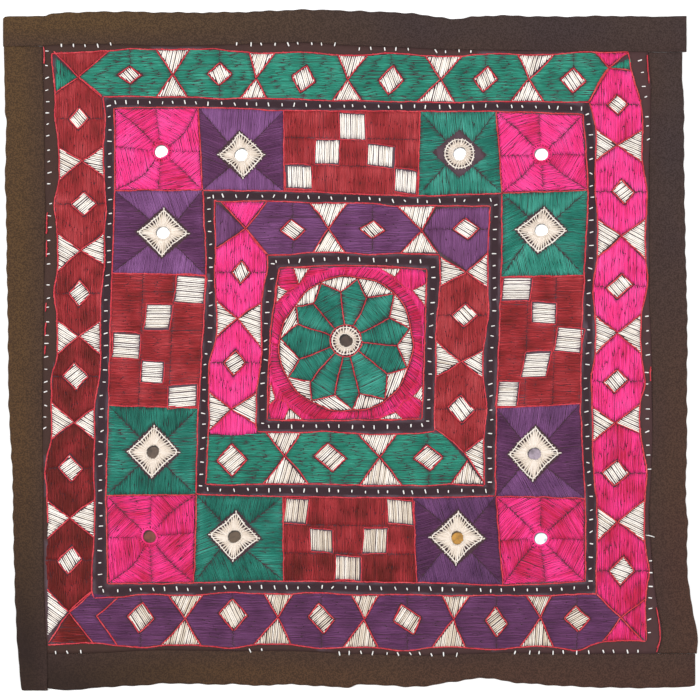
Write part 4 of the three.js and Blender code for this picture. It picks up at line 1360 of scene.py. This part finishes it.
def stitch_flower():
    tips = round_flower(PETAL_TIP, PETAL_TURN)
    valleys = round_flower(PETAL_VALLEY, PETAL_TURN - 180 / PETALS)
    count = len(tips)
    spokes = valleys - FLOWER
    roots = FLOWER + spokes * (PETAL_START / np.hypot(*spokes.T))[:, None]
    rim = flower_rim(tips)
    for i in range(count):
        petal = (roots[i - 1], valleys[i - 1], tips[i], valleys[i], roots[i])
        axis = tips[i] - FLOWER
        across = math.atan2(axis[1], axis[0]) + math.pi / 2
        fill("teal", petal, across + rng.normal(0, PETAL_SWING), margin=PETAL_MARGIN, shade=PETAL_SHADES[i])
        following = tips[(i + 1) % count]
        scallop = (rim[2 * i], rim[2 * i + 1], rim[(2 * i + 2) % len(rim)], valleys[i])
        fill("white", scallop, math.radians(SCALLOP_SLANTS[i]), margin=PETAL_MARGIN, width=WHITE_FLOSS)
        stem(bowed(tips[i], valleys[i]), width=PETAL_LINE)
        stem(bowed(valleys[i], following), width=PETAL_LINE)
        stem(bowed(roots[i], valleys[i]), width=PETAL_LINE)
    buttonhole(FLOWER, circle_of(FLOWER, ROUND_RING - CENTRE_INSET, RIM_STEP), ROUND_HOLE)
    stem(circle_of(FLOWER, ROUND_RING + CENTRE_LINE_OUT, CENTRE_STEP), width=RIM_LINE)
    stem(closed(rim), width=RIM_LINE)
    stitch_flower_ring(smooth(closed(rim)))


def flower_rim(tips):
    """The line round the flower: a point at each petal tip and one between it and the next."""
    spokes = tips - CIRCLE
    radius = np.hypot(*spokes.T)
    outward = unit(spokes)
    between = unit(outward + np.roll(outward, -1, axis=0))
    middle_radius = (radius + np.roll(radius, -1)) / 2 + SCALLOP_BULGE
    rim = np.empty((2 * len(tips), 2))
    rim[0::2] = CIRCLE + spokes * ((radius + TIP_OVER) / radius)[:, None]
    rim[1::2] = CIRCLE + between * middle_radius[:, None]
    return rim


def stitch_flower_ring(rim):
    """Pink ring round the flower, and the four corners with their small white triangles."""
    angles = np.arange(0, 361, FLOWER_STEP)
    spoke = compass(np.radians(angles))
    square = np.vstack(RINGS[FLOWER_RING])
    reach = np.array([ray_length(CIRCLE, direction, square) for direction in spoke]) - RING_EDGE
    start = np.array([ray_length(CIRCLE, direction, rim) for direction in spoke]) + RING_INSIDE
    outside = np.full(len(angles), min(RING_OUTSIDE))
    turns = []
    for index in range(4):
        corner = points(FLOWER_SQUARE[index])
        turns.append((angles - math.degrees(math.atan2(*(corner - CIRCLE)[::-1])) + 180) % 360 - 180)
        outside[np.abs(turns[index]) < CORNER_TURN] = RING_OUTSIDE[index]
    behind = reach > outside + BEHIND_CORNER
    outside += np.sin(np.radians(angles) * RING_WAVES) + rng.normal(0, RING_STRAY, len(angles))
    outer = CIRCLE + spoke * np.where(behind, np.minimum(reach, outside), reach)[:, None]
    base = CIRCLE + spoke * start[:, None]
    free = reach > outside - CORNER_START
    for index in range(4):
        rows = np.flatnonzero(np.abs(turns[index][:-1]) < RING_TURN)
        rows = rows[np.argsort(turns[index][rows])]
        before = (rows - 1) % (len(angles) - 1)
        ladder("pink", base[rows], outer[before], RING_SHADES[index])
        rows = rows[free[rows]]
        from_ring = np.minimum(RING_OUTSIDE[index] - CORNER_OVERLAP, reach[rows] - CORNER_EDGE)
        edge = CIRCLE + spoke[rows] * from_ring[:, None]
        border = CIRCLE + spoke[rows] * reach[rows][:, None]
        field = np.vstack((edge, border[::-1]))
        patches = [corner_patch(index, turn, *row[1:]) for turn, row in zip((-1, 1), CORNER_PATCHES[index])]
        fill("pink", field, math.radians(CORNER_SLANTS[index]), holes=patches, margin=PATCH_MARGIN,
             shade=CORNER_SHADES[index])
        diagonal = points(FLOWER_SQUARE[index]) - CIRCLE
        knot = CIRCLE + diagonal * RING_OUTSIDE[index] / np.hypot(*diagonal)
        for (slant, *_), patch in zip(CORNER_PATCHES[index], patches):
            stem(bowed(patch[-1], knot), width=CORNER_LINE, lift=CORNER_LIFT)
            stem_round(inset(patch, -PATCH_RIM), PATCH_LINE, lift=PATCH_LIFT)
            fill("white", patch, math.radians(slant), margin=PATCH_MARGIN, width=PATCH_FLOSS)


def corner_patch(index, turn, start, base, height):
    """A triangle on a side of the flower square near a corner: both ends of its base, then its tip."""
    corner = points(FLOWER_SQUARE[index])
    along = points(FLOWER_SQUARE[(index + turn) % 4]) - corner
    along /= np.hypot(*along)
    inward = turn * np.array((along[1], -along[0]))
    tip = corner + along * (start + PATCH_TIP_SHARE * base) + inward * height
    return np.array((corner + along * start, corner + along * (start + base), tip))


def ray_length(origin, direction, path):
    """Distance from a point to the nearest crossing of a path in a direction."""
    a = path - origin
    b = np.roll(a, -1, axis=0) - a
    across = direction[0] * b[:, 1] - direction[1] * b[:, 0]
    across = np.where(np.abs(across) < 1e-9, 1e-9, across)
    t = (a[:, 0] * b[:, 1] - a[:, 1] * b[:, 0]) / across
    u = (a[:, 0] * direction[1] - a[:, 1] * direction[0]) / across
    hit = (u >= 0) & (u <= 1) & (t > 0)
    return t[hit].min()


# Outlines and running stitches

LEFT_LINE_END = -150  # height at which the outer line on the left ends
LOOSE_LIFT = 0.6


def beside_seam(side, start, end):
    """A line beside a border strip's seam, from one place along it to another."""
    along, rows = STRIPS[side]
    rows = points(sorted(rows))
    at = np.linspace(start, end, 4)
    across = np.interp(at, rows[:, 0], rows[:, 1])
    across -= np.sign(across) * STRAY_INSET
    return [place(along, a, b) for a, b in zip(at, across)]


def stitch_lines():
    for ring, sides in enumerate(RINGS):
        for index, path in enumerate(sides):
            if ring == 0 and SIDES[index] == "left":
                path = path[path[:, 1] > LEFT_LINE_END]
            stem(path, width=RING_LINE)
    for side, start, end in STRAY_BITS:
        stem(beside_seam(side, start, end), width=STRAY_LINE)
    stem(LOOSE_THREAD, width=LOOSE_LINE, colour="running", lift=LOOSE_LIFT)
    for outer, inner in CHANNELS:
        for index in range(4):
            ticks(channel_middle(outer, inner, index))
    for along, start, end, first, last in OUTER_RUNNING:
        ticks((place(along, start, first), place(along, end, last)), SEAM_LIFT if along == "x" else 0.0)


stitch_bands()
stitch_inner_corners()
stitch_squares()
stitch_flower()
stitch_lines()


# Cloth sheets

EDGE_STEP = 2.5  # between the points along a strip
# Uneven outer edge of a strip: height and length of the waves, how far they shift, and the length of that
EDGE_WAVES = ((0.3, 2.3, 2, 31), (0.25, 4.7, 3, 53))
EDGE_FADE = 8  # they fade out over one part in so many of the strip, at both ends
# Soft edges of a strip: distance from the edge, height of the top there, and of the underside at the last two
EDGE_IN = (0.0, 0.3, 1.0)
EDGE_TOP = (0.8, 1.35, STRIP)
EDGE_UNDER = (0.3, 0.0)
STRIP_COLUMNS = 9  # points across a strip between its edges
# Puckers along the seam: height, pitch, how fast they fade across the strip, and how they shift along it
PUCKER = 0.16
PUCKER_PITCH = 9.3
PUCKER_FADE = 5
PUCKER_SHIFT = 1.4
SHIFT_LENGTH = 37
STRIP_RELIEF = 1.3  # height of the strip's waves beside the panel's, and how much closer they lie
STRIP_WAVES = 1.7
WAVY_PART = 0.46  # share of the width, to both sides of the middle, that has them


def strip_edges(side):
    along, rows = STRIPS[side]
    rows = points(rows)
    seam = smooth([place(along, a, b) for a, b in rows[:, :2]], EDGE_STEP)
    outer = smooth([place(along, a, c) for a, c in rows[:, ::2]], EDGE_STEP)
    shares = np.linspace(0, 1, max(len(seam), len(outer)))
    seam, outer = along_path(seam, shares), along_path(outer, shares)
    run = lengths(outer)
    uneven = np.zeros(len(run))
    for height, wave, shift, slow in EDGE_WAVES:
        uneven += height * np.sin(run / wave + shift * np.sin(run / slow))
    uneven *= np.minimum(1, EDGE_FADE * np.minimum(shares, 1 - shares))
    return seam, outer + unit(outer - seam) * uneven[:, None]


def make_strip(side):
    """A border strip folded double, with soft edges and small puckers along its seam."""
    seam, outer = strip_edges(side)
    count = len(seam)
    width = np.hypot(*(outer - seam).T)
    middle = np.linspace(0, 1, STRIP_COLUMNS + 2)[1:-1]
    across = np.column_stack(
        [edge / width for edge in EDGE_IN] + [np.full(count, share) for share in middle]
        + [1 - edge / width for edge in EDGE_IN[::-1]])
    height = np.concatenate((EDGE_TOP, np.full(STRIP_COLUMNS, STRIP), EDGE_TOP[::-1]))
    under = across[:, ::-1][:, 1:-1]
    under_height = np.concatenate((EDGE_UNDER, np.zeros(STRIP_COLUMNS), EDGE_UNDER[::-1]))
    shares = np.hstack((across, under))
    where = seam[:, None] + (outer - seam)[:, None] * shares[..., None]
    z = np.tile(np.concatenate((height, under_height)), (count, 1))
    x, y = where[..., 0], where[..., 1]
    run = lengths(seam)[:, None]
    phase = run * 2 * math.pi / PUCKER_PITCH + PUCKER_SHIFT * np.sin(run / SHIFT_LENGTH)
    pull = np.exp(-shares * PUCKER_FADE) * PUCKER * np.sin(phase)
    top = np.arange(shares.shape[1]) < across.shape[1]
    waves = STRIP_RELIEF * relief(STRIP_WAVES * x, STRIP_WAVES * y) + pull
    z += np.where(top & (np.abs(shares - 0.5) < WAVY_PART), waves, 0.0)
    rings = np.dstack((where, z))
    size = shares.shape[1]
    a = np.arange(count - 1)[:, None] * size + np.arange(size)[None]
    b = np.arange(count - 1)[:, None] * size + (np.arange(size)[None] + 1) % size
    quads = np.stack((a, b, b + size, a + size), axis=-1).reshape(-1, 4)
    fan = np.array([(0, i, i + 1, i + 1) for i in range(1, size - 1)])
    vertices = rings.reshape(-1, 3)
    triangles = np.vstack((quads[:, [0, 1, 2]], quads[:, [0, 2, 3]], fan[:, [0, 2, 1]],
                           fan[:, [0, 1, 2]] + (count - 1) * size))
    if signed_volume(vertices, triangles) < 0:
        triangles = triangles[:, ::-1]
    piece = make_mesh(f"border_{side}_cloth", vertices, triangles)
    set_tone(piece, border_tone(x.ravel(), y.ravel(), shares.ravel()))
    plan_map(piece)
    return piece, float(lengths(seam)[-1]), float(width.mean())


LOWER_RIGHT_START = 120  # x - y at which the border's tone starts to change, and over how far
LOWER_RIGHT_SPAN = 320
SEAM_TONE = 0.6  # how much of the seam's tone there is, and how far it reaches across the strip
SEAM_REACH = 0.6


def border_tone(x, y, across):
    """Faded dark cotton: palest at the upper left, darkest at the lower left and along the seams."""
    along, tones = zip(*BORDER_TONES)
    tone = np.column_stack([np.interp(x + y, along, channel) for channel in points(tones).T])
    tone = blend(tone, BORDER_LOWER_RIGHT, (x - y - LOWER_RIGHT_START) / LOWER_RIGHT_SPAN)
    return blend(tone, BORDER_SEAM, SEAM_TONE * (1 - across / SEAM_REACH))


def signed_volume(vertices, triangles):
    a, b, c = (vertices[triangles[:, i]] for i in range(3))
    return float(np.sum(a * np.cross(b, c)) / 6)


def panel_side(index):
    """One side of the ground cloth's outline, clockwise from its upper left corner."""
    start, end = points(PANEL_CORNERS[index]), points(PANEL_CORNERS[(index + 1) % 4])
    along, rows = STRIPS[SIDES[index]]
    seam = [place(along, row[0], row[1]) for row in rows]
    return smooth([start, *between_corners(seam, start, end, 0 if along == "x" else 1), end])


PANEL_HALF = 266
PANEL_LINES = 80  # even grid lines across the panel
FINE_STEP = 1.3  # between the grid lines where the channels run
FINE_PARTS = (
    (-263, -250), (-224, -200), (-137, -114), (-83, -60), (58, 85), (112, 140), (197, 221), (248, 263),
)


def grid_shares():
    """Shares of the panel's width, close together where the channels run."""
    marks = [np.linspace(-PANEL_HALF, PANEL_HALF, PANEL_LINES)]
    marks += [np.arange(low, high, FINE_STEP) for low, high in FINE_PARTS]
    values = np.unique(np.round(np.concatenate(marks) / FINE_STEP) * FINE_STEP)
    values = values[np.abs(values) < PANEL_HALF - 1]
    return np.concatenate(([0.0], (values + PANEL_HALF) / (2 * PANEL_HALF), [1.0]))


FIELD_START = 5  # from the running stitches to the fields, and over how far the painted furrow shade gives way to their tone
FIELD_FADE = 2
MARGIN_SPAN = 400  # width over which the margin's tone changes


def ground_tone(flat, bare, near):
    """Plum-grey cotton where it lies bare beside the outlines, darker with painted shade in the channels'
    furrows and between the stitches of the fields, and browner outside the outlines.
    """
    # Painted shade: darkest along the channels' middles, lighter under the fields
    field = blend(points([GROUND_IN_FURROW_SHADE]), GROUND_SHADED_UNDER_FIELDS, (near - FIELD_START) / FIELD_FADE)
    tone = blend(field, GROUND_BARE, bare)
    margin = blend(points([MARGIN_LEFT]), MARGIN_RIGHT, flat[:, 0] / MARGIN_SPAN + 0.5)
    outside = ~inside(np.vstack(RINGS[0]), flat)
    tone[outside] = margin[outside]
    return tone


MEAN_HALF = 264  # half the panel's mean size
THINNED_CHANNEL = 4  # one point in so many is measured to, of the channels and of the outlines
THINNED_OUTLINE = 5
FURROW_REACH = 2.2
# Bare ground: how far it reaches from an outline, where it starts beside the running stitches and over how
# far, then how patchy it is, as the mean, the spread, how close the patches lie and the least
BARE_REACH = 3.0
BARE_START = 2.6
BARE_FADE = 1.2
BARE_MEAN = 0.75
BARE_SPREAD = 3.5
BARE_SCALE = 1.9
BARE_LEAST = 0.2
CELL_BARE_RIM = 3.5  # how far it reaches round a checker's cells, and how bare it is there
CELL_BARE = 0.8


def make_panel():
    """The ground cloth as a thin closed sheet, drawn in along the running stitches."""
    shares = grid_shares()
    count = len(shares)
    back = 1 - shares[::-1]
    along = (shares, shares, back, back)
    top, right, bottom, left = (along_path(panel_side(i), along[i]) for i in range(4))
    bottom, left = bottom[::-1], left[::-1]
    u, v = shares[None, :, None], shares[:, None, None]
    flat = ((1 - v) * top[None] + v * bottom[None] + (1 - u) * left[:, None] + u * right[:, None]
            - (1 - u) * (1 - v) * top[0] - u * (1 - v) * top[-1]
            - (1 - u) * v * bottom[0] - u * v * bottom[-1])
    flat = flat.reshape(-1, 2)
    centre = flat.mean(axis=0)
    flat = centre + (flat - centre) * (1 - PIECE_GAP / MEAN_HALF)
    middles = [channel_middle(*pair, index) for pair in CHANNELS for index in range(4)]
    outlines = [path for ring in RINGS for path in ring]
    near = np.min([distance_to(middle[::THINNED_CHANNEL], flat) for middle in middles], axis=0)
    beside = np.min([distance_to(path[::THINNED_OUTLINE], flat) for path in outlines], axis=0)
    bare = np.exp(-(beside / BARE_REACH) ** 2) * np.clip((near - BARE_START) / BARE_FADE, 0, 1)
    bare *= np.clip(BARE_MEAN + BARE_SPREAD * relief(*(BARE_SCALE * flat).T), BARE_LEAST, 1)
    diamond = diamond_tips(*mirror_centre(BARE_DIAMOND), *MIRROR_DIAMONDS[BARE_DIAMOND])
    bare[inside(diamond, flat)] = BARE_SHARE
    for cells in CHECKER_CELLS.values():
        for cell in cells:
            bare[inside(inset(cell_corners(*cell), -CELL_BARE_RIM), flat)] = CELL_BARE
    high = GROUND + relief(*flat.T) - FURROW * np.exp(-(near / FURROW_REACH) ** 2)
    upper = np.column_stack((flat, high))
    lower = np.column_stack((flat, np.zeros(len(flat))))
    row = np.arange(count - 1)
    a = (row[:, None] * count + row[None]).ravel()
    sheet = np.column_stack((a, a + count, a + count + 1, a + 1))
    rim = np.concatenate((row, (row + 1) * count - 1, count * count - 1 - row, (count - 1 - row) * count))
    wall = np.column_stack((rim, np.roll(rim, -1), np.roll(rim, -1) + count * count, rim + count * count))
    faces = np.vstack((sheet, sheet[:, ::-1] + count * count, wall))
    piece = make_mesh("ground_cloth", np.vstack((upper, lower)), faces)
    set_tone(piece, np.tile(ground_tone(flat, bare, near), (2, 1)))
    plan_map(piece)
    return piece


# Materials

def linear(colour):
    """Eight-bit screen values as linear red, green, blue and alpha."""
    return (*linear_light(colour).tolist(), 1.0)


def new_material(name):
    material = bpy.data.materials.new(name)
    material.use_nodes = True
    return material, material.node_tree, material.node_tree.nodes["Principled BSDF"]


def feed(tree, node, values):
    """Sets a node's inputs, or links those that another node's output is given for."""
    for name, value in values.items():
        if isinstance(value, bpy.types.NodeSocket):
            tree.links.new(value, node.inputs[name])
        else:
            node.inputs[name].default_value = value


def add_node(tree, kind, values=None):
    node = tree.nodes.new("ShaderNode" + kind)
    feed(tree, node, values or {})
    return node


def object_place(tree):
    return add_node(tree, "TexCoord").outputs["Object"]


def point_value(tree, name):
    """The node of a value or colour that is kept with the mesh's points."""
    node = add_node(tree, "Attribute")
    node.attribute_name = name
    return node


def noise(tree, where, scale, detail):
    return add_node(tree, "TexNoise", {"Vector": where, "Scale": scale, "Detail": detail}).outputs["Fac"]


def calculate(tree, operation, *values):
    node = add_node(tree, "Math", dict(enumerate(values)))
    node.operation = operation
    return node.outputs[0]


def stretch(tree, value, limits):
    return add_node(tree, "MapRange", {"Value": value, **limits}).outputs[0]


def bump(tree, height, strength, depth):
    values = {"Height": height, "Strength": strength, "Distance": depth}
    return add_node(tree, "Bump", values).outputs["Normal"]


def ramp(tree, share, places, colours):
    """Colours in eight-bit screen values at places along a ramp."""
    node = add_node(tree, "ValToRGB", {"Fac": share})
    elements = node.color_ramp.elements
    while len(elements) < len(places):
        elements.new(0.5)
    for element, position, colour in zip(elements, places, colours):
        element.position = position
        element.color = linear(colour)
    return node.outputs["Color"]


def mix_colours(tree, share, first, second):
    """A colour mixed with another one, which is given in eight-bit screen values."""
    mix = add_node(tree, "Mix", {"Factor": share})
    mix.data_type = "RGBA"
    sockets = {i.name: i for i in mix.inputs if i.type == "RGBA"}
    tree.links.new(first, sockets["A"])
    sockets["B"].default_value = linear(second)
    return next(o for o in mix.outputs if o.type == "RGBA")


FIBRE_SCALE = 900
FIBRE_DETAIL = 2
FIBRE_SHARE = 0.22  # how much the fibres change the shade
FIBRE_BUMP = (0.12, 0.0002)  # strength, and depth in metres
FLOSS_STOPS = (0.0, 0.5, 1.0)
FLOSS_FINISH = {"Roughness": 0.55, "Specular IOR Level": 0.2}


def thread_material(name, colours):
    """Soft glossy floss: every stitch has its own shade, with fine fibres along it."""
    material, tree, shader = new_material(name)
    fibre = noise(tree, object_place(tree), FIBRE_SCALE, FIBRE_DETAIL)
    lowered = calculate(tree, "SUBTRACT", point_value(tree, "shade").outputs["Fac"], FIBRE_SHARE / 2)
    shade = calculate(tree, "MULTIPLY_ADD", fibre, FIBRE_SHARE, lowered)
    feed(tree, shader, {
        "Base Color": ramp(tree, shade, FLOSS_STOPS, colours), "Normal": bump(tree, fibre, *FIBRE_BUMP),
        **FLOSS_FINISH})
    return material


YARN_PITCH = 0.0007  # in metres
WAVE_SCALE = 0.314  # of the wave pattern, for a pitch of one metre
YARN_WAVES = {"Scale": WAVE_SCALE / YARN_PITCH, "Distortion": 1.2, "Detail": 1.0, "Detail Scale": 40.0}
WEAVE_BUMP = (0.5, 0.0003)  # strength, and depth in metres
COTTON_FINISH = {"Roughness": 0.92, "Specular IOR Level": 0.05}
# Specks of the cottons: colour, scale of the noise, from and to where it shows, and the most that it covers
GROUND_SPECKS = (((46, 35, 40), 140, 0.0, 1.0, 0.4),)
BORDER_SPECKS = (((92, 71, 52), 14, 0.35, 0.75, 0.25), ((40, 32, 30), 960, 0.44, 0.56, 0.55))
SPECK_DETAIL = 3
BORDER_YARN = (44, 35, 32)
YARN_LIMITS = {"To Max": 0.35}


def weave(tree, where):
    """Height of a plain weave."""
    waves = [add_node(tree, "TexWave", {"Vector": where, **YARN_WAVES}) for _ in range(2)]
    for wave, direction in zip(waves, "XY"):
        wave.bands_direction = direction
    return calculate(tree, "MULTIPLY", *(wave.outputs["Fac"] for wave in waves))


def cotton_material(name, specks, yarn=None):
    """Faded dark cotton in a plain weave, with specks, and with darker yarn where that is given."""
    material, tree, shader = new_material(name)
    where = object_place(tree)
    height = weave(tree, where)
    tone = point_value(tree, "tone").outputs["Color"]
    for colour, scale, low, high, most in specks:
        limits = {"From Min": low, "From Max": high, "To Max": most}
        tone = mix_colours(tree, stretch(tree, noise(tree, where, scale, SPECK_DETAIL), limits), tone, colour)
    if yarn:
        tone = mix_colours(tree, stretch(tree, height, YARN_LIMITS), tone, yarn)
    feed(tree, shader, {"Base Color": tone, "Normal": bump(tree, height, *WEAVE_BUMP), **COTTON_FINISH})
    return material


CLOUD_SCALE = 260
CLOUD_DETAIL = 4
CLOUD_STOPS = (0.3, 0.6)
CLOUD_SHARE = 0.7  # of the silvering's light that is left in the clouds, and in the painted shadow at the edge
RIM_SHADOW_SHARE = 0.36
GLASS_ROUGHNESS = {"To Min": 0.04, "To Max": 0.16}
GLASS_FINISH = {"Metallic": 1.0, "Coat Weight": 0.4, "Coat Roughness": 0.03}


def mirror_material(name, colour):
    """Thin silvered glass with cloudy, worn silvering, whose colour holds a painted reflection, with a
    painted shadow of the ring of stitches at its edge.
    """
    material, tree, shader = new_material(name)
    cloudy, rim_shadow_colour = (tuple(int(c * share) for c in colour) for share in (CLOUD_SHARE, RIM_SHADOW_SHARE))
    cloud = noise(tree, object_place(tree), CLOUD_SCALE, CLOUD_DETAIL)
    silver = ramp(tree, cloud, CLOUD_STOPS, (cloudy, colour))
    # Painted shadow of the ring of stitches at the glass's edge
    silver = mix_colours(tree, point_value(tree, "edge").outputs["Fac"], silver, rim_shadow_colour)
    feed(tree, shader, {
        "Base Color": silver, "Roughness": stretch(tree, cloud, GLASS_ROUGHNESS), **GLASS_FINISH})
    return material


# Mirrors

GLASS_TRIM = 0.15  # how much smaller a disc's radius is than its solid's
GLASS_SIDES = 40
# From the top's middle round the edge to the underside's: shares of the radius and of the thickness
GLASS_PROFILE = (
    (0.0, 0.5), (0.5, 0.49), (0.58, 0.487), (0.65, 0.483), (0.72, 0.478), (0.79, 0.47), (0.86, 0.45),
    (0.96, 0.4),
    (1.0, 0.22), (1.0, -0.3), (0.95, -0.42), (0.0, -0.45),
)
LEAN_SHARE = 0.35  # of its lean that the disc's form shows
MOST_LEAN = 0.25


def make_mirror(name):
    """A glass disc with a ground edge, a little domed and leaning as it was sewn down."""
    low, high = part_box(name)
    centre = (low + high) / 2 / MM
    radius = (high.x - low.x) / 2 / MM - GLASS_TRIM
    thickness = (high.z - low.z) / MM
    angles = np.linspace(0, 2 * math.pi, GLASS_SIDES, endpoint=False)
    # The glass's colour is the silvering's tint with a painted reflection
    tint_and_reflection, *leans = MIRROR_LOOKS[name]
    vertices, faces = [(0.0, 0.0, GLASS_PROFILE[0][1] * thickness)], []
    for share, height in GLASS_PROFILE[1:-1]:
        reach, z = radius * share, height * thickness
        vertices += [(reach * math.cos(angle), reach * math.sin(angle), z) for angle in angles]
    vertices.append((0.0, 0.0, GLASS_PROFILE[-1][1] * thickness))
    rings = len(GLASS_PROFILE) - 2
    for i in range(GLASS_SIDES):
        j = (i + 1) % GLASS_SIDES
        faces.append((0, 1 + i, 1 + j))
        for ring in range(rings - 1):
            a, b = 1 + ring * GLASS_SIDES, 1 + (ring + 1) * GLASS_SIDES
            faces += [(a + i, b + i, b + j), (a + i, b + j, a + j)]
        last = 1 + (rings - 1) * GLASS_SIDES
        faces.append((last + i, len(vertices) - 1, last + j))
    vertices = np.array(vertices)
    tilt = np.zeros(len(vertices))
    for axis, lean in enumerate(leans):
        tilt += vertices[:, axis] * math.tan(math.radians(lean)) * LEAN_SHARE
    vertices[:, 2] += np.clip(-tilt, -MOST_LEAN, MOST_LEAN)
    piece = make_mesh(name + "_glass", vertices + np.array(centre), np.array(faces))
    # Painted shadow of the ring of stitches on the glass: darker towards the edge, and further in on one side
    outward = np.hypot(*vertices[:, :2].T) / radius
    turned = np.cos(np.arctan2(vertices[:, 1], vertices[:, 0]) - RIM_SHADOW_HEADING)
    rim_shadow = (outward - RIM_SHADOW_START + RIM_SHADOW_LEAN * turned) / RIM_SHADOW_FADE
    set_attribute(piece, "edge", np.clip(rim_shadow, 0, 1))
    plan_map(piece)
    piece.data.materials.append(mirror_material(name + "_silvering", tint_and_reflection))
    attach(piece, "root")
    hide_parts(name)
    return piece


# Pieces of the object

border_cotton = cotton_material("border_cotton", BORDER_SPECKS, BORDER_YARN)
for side in SIDES:
    strip, strip_length, strip_width = make_strip(side)
    strip.data.materials.append(border_cotton)
    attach(strip, "root")
    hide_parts(f"border_{side}")

panel = make_panel()
panel.data.materials.append(cotton_material("ground_cotton", GROUND_SPECKS))
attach(panel, "root")
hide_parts("centre_panel")

for colour, threads in THREADS.items():
    stitches = threads.build(f"stitches_{colour}")
    stitches.data.materials.append(thread_material(f"floss_{colour}", THREAD_COLOURS[colour]))
    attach(stitches, "root")
for name in MIRROR_LOOKS:
    make_mirror(name)

# Floor, light and camera

FLOOR_HALF = 30.0  # half its size, in metres
PAPER = {"Base Color": (0.93, 0.93, 0.93, 1), "Roughness": 0.9}
floor_corners = np.array(((-1, -1, 0), (1, -1, 0), (1, 1, 0), (-1, 1, 0)))
floor = make_mesh("floor", floor_corners * (FLOOR_HALF / MM), np.array(((0, 1, 2, 3),)))
paper, paper_tree, paper_shader = new_material("pale_paper")
feed(paper_tree, paper_shader, PAPER)
floor.data.materials.append(paper)

# Place and size of each light in metres, and its power
SOFTBOXES = {
    "softbox_left": ((-1.8, 0.25, 1.2), 1.2, 31.5),
    "softbox_right": ((1.8, 0.25, 1.2), 1.2, 27.3),
    "softbox_above": ((0.0, 0.0, 2.3), 1.8, 18),
}
for name, (where, size, power) in SOFTBOXES.items():
    light = bpy.data.lights.new(name, "AREA")
    light.shape = "SQUARE"
    light.size = size
    light.energy = power
    lamp = bpy.data.objects.new(name, light)
    lamp.location = where
    lamp.rotation_euler = (-lamp.location).to_track_quat("-Z", "Y").to_euler()
    bpy.context.scene.collection.objects.link(lamp)

SKY = {"Color": (1.0, 0.99, 0.98, 1), "Strength": 0.46}
world = bpy.data.worlds.new("soft_room")
bpy.context.scene.world = world
world.use_nodes = True
feed(world.node_tree, world.node_tree.nodes["Background"], SKY)

VIEW_WIDTH = 0.605  # width of the table that the picture takes in
LENS = 70.0  # and the sensor's width, in millimetres
SENSOR = 36.0
camera_data = bpy.data.cameras.new("camera")
camera_data.lens = LENS
camera_data.sensor_width = SENSOR
camera = bpy.data.objects.new("camera", camera_data)
camera.location = (0, 0, VIEW_WIDTH * LENS / SENSOR)
bpy.context.scene.collection.objects.link(camera)
bpy.context.scene.camera = camera
bpy.context.scene.view_settings.view_transform = "Standard"
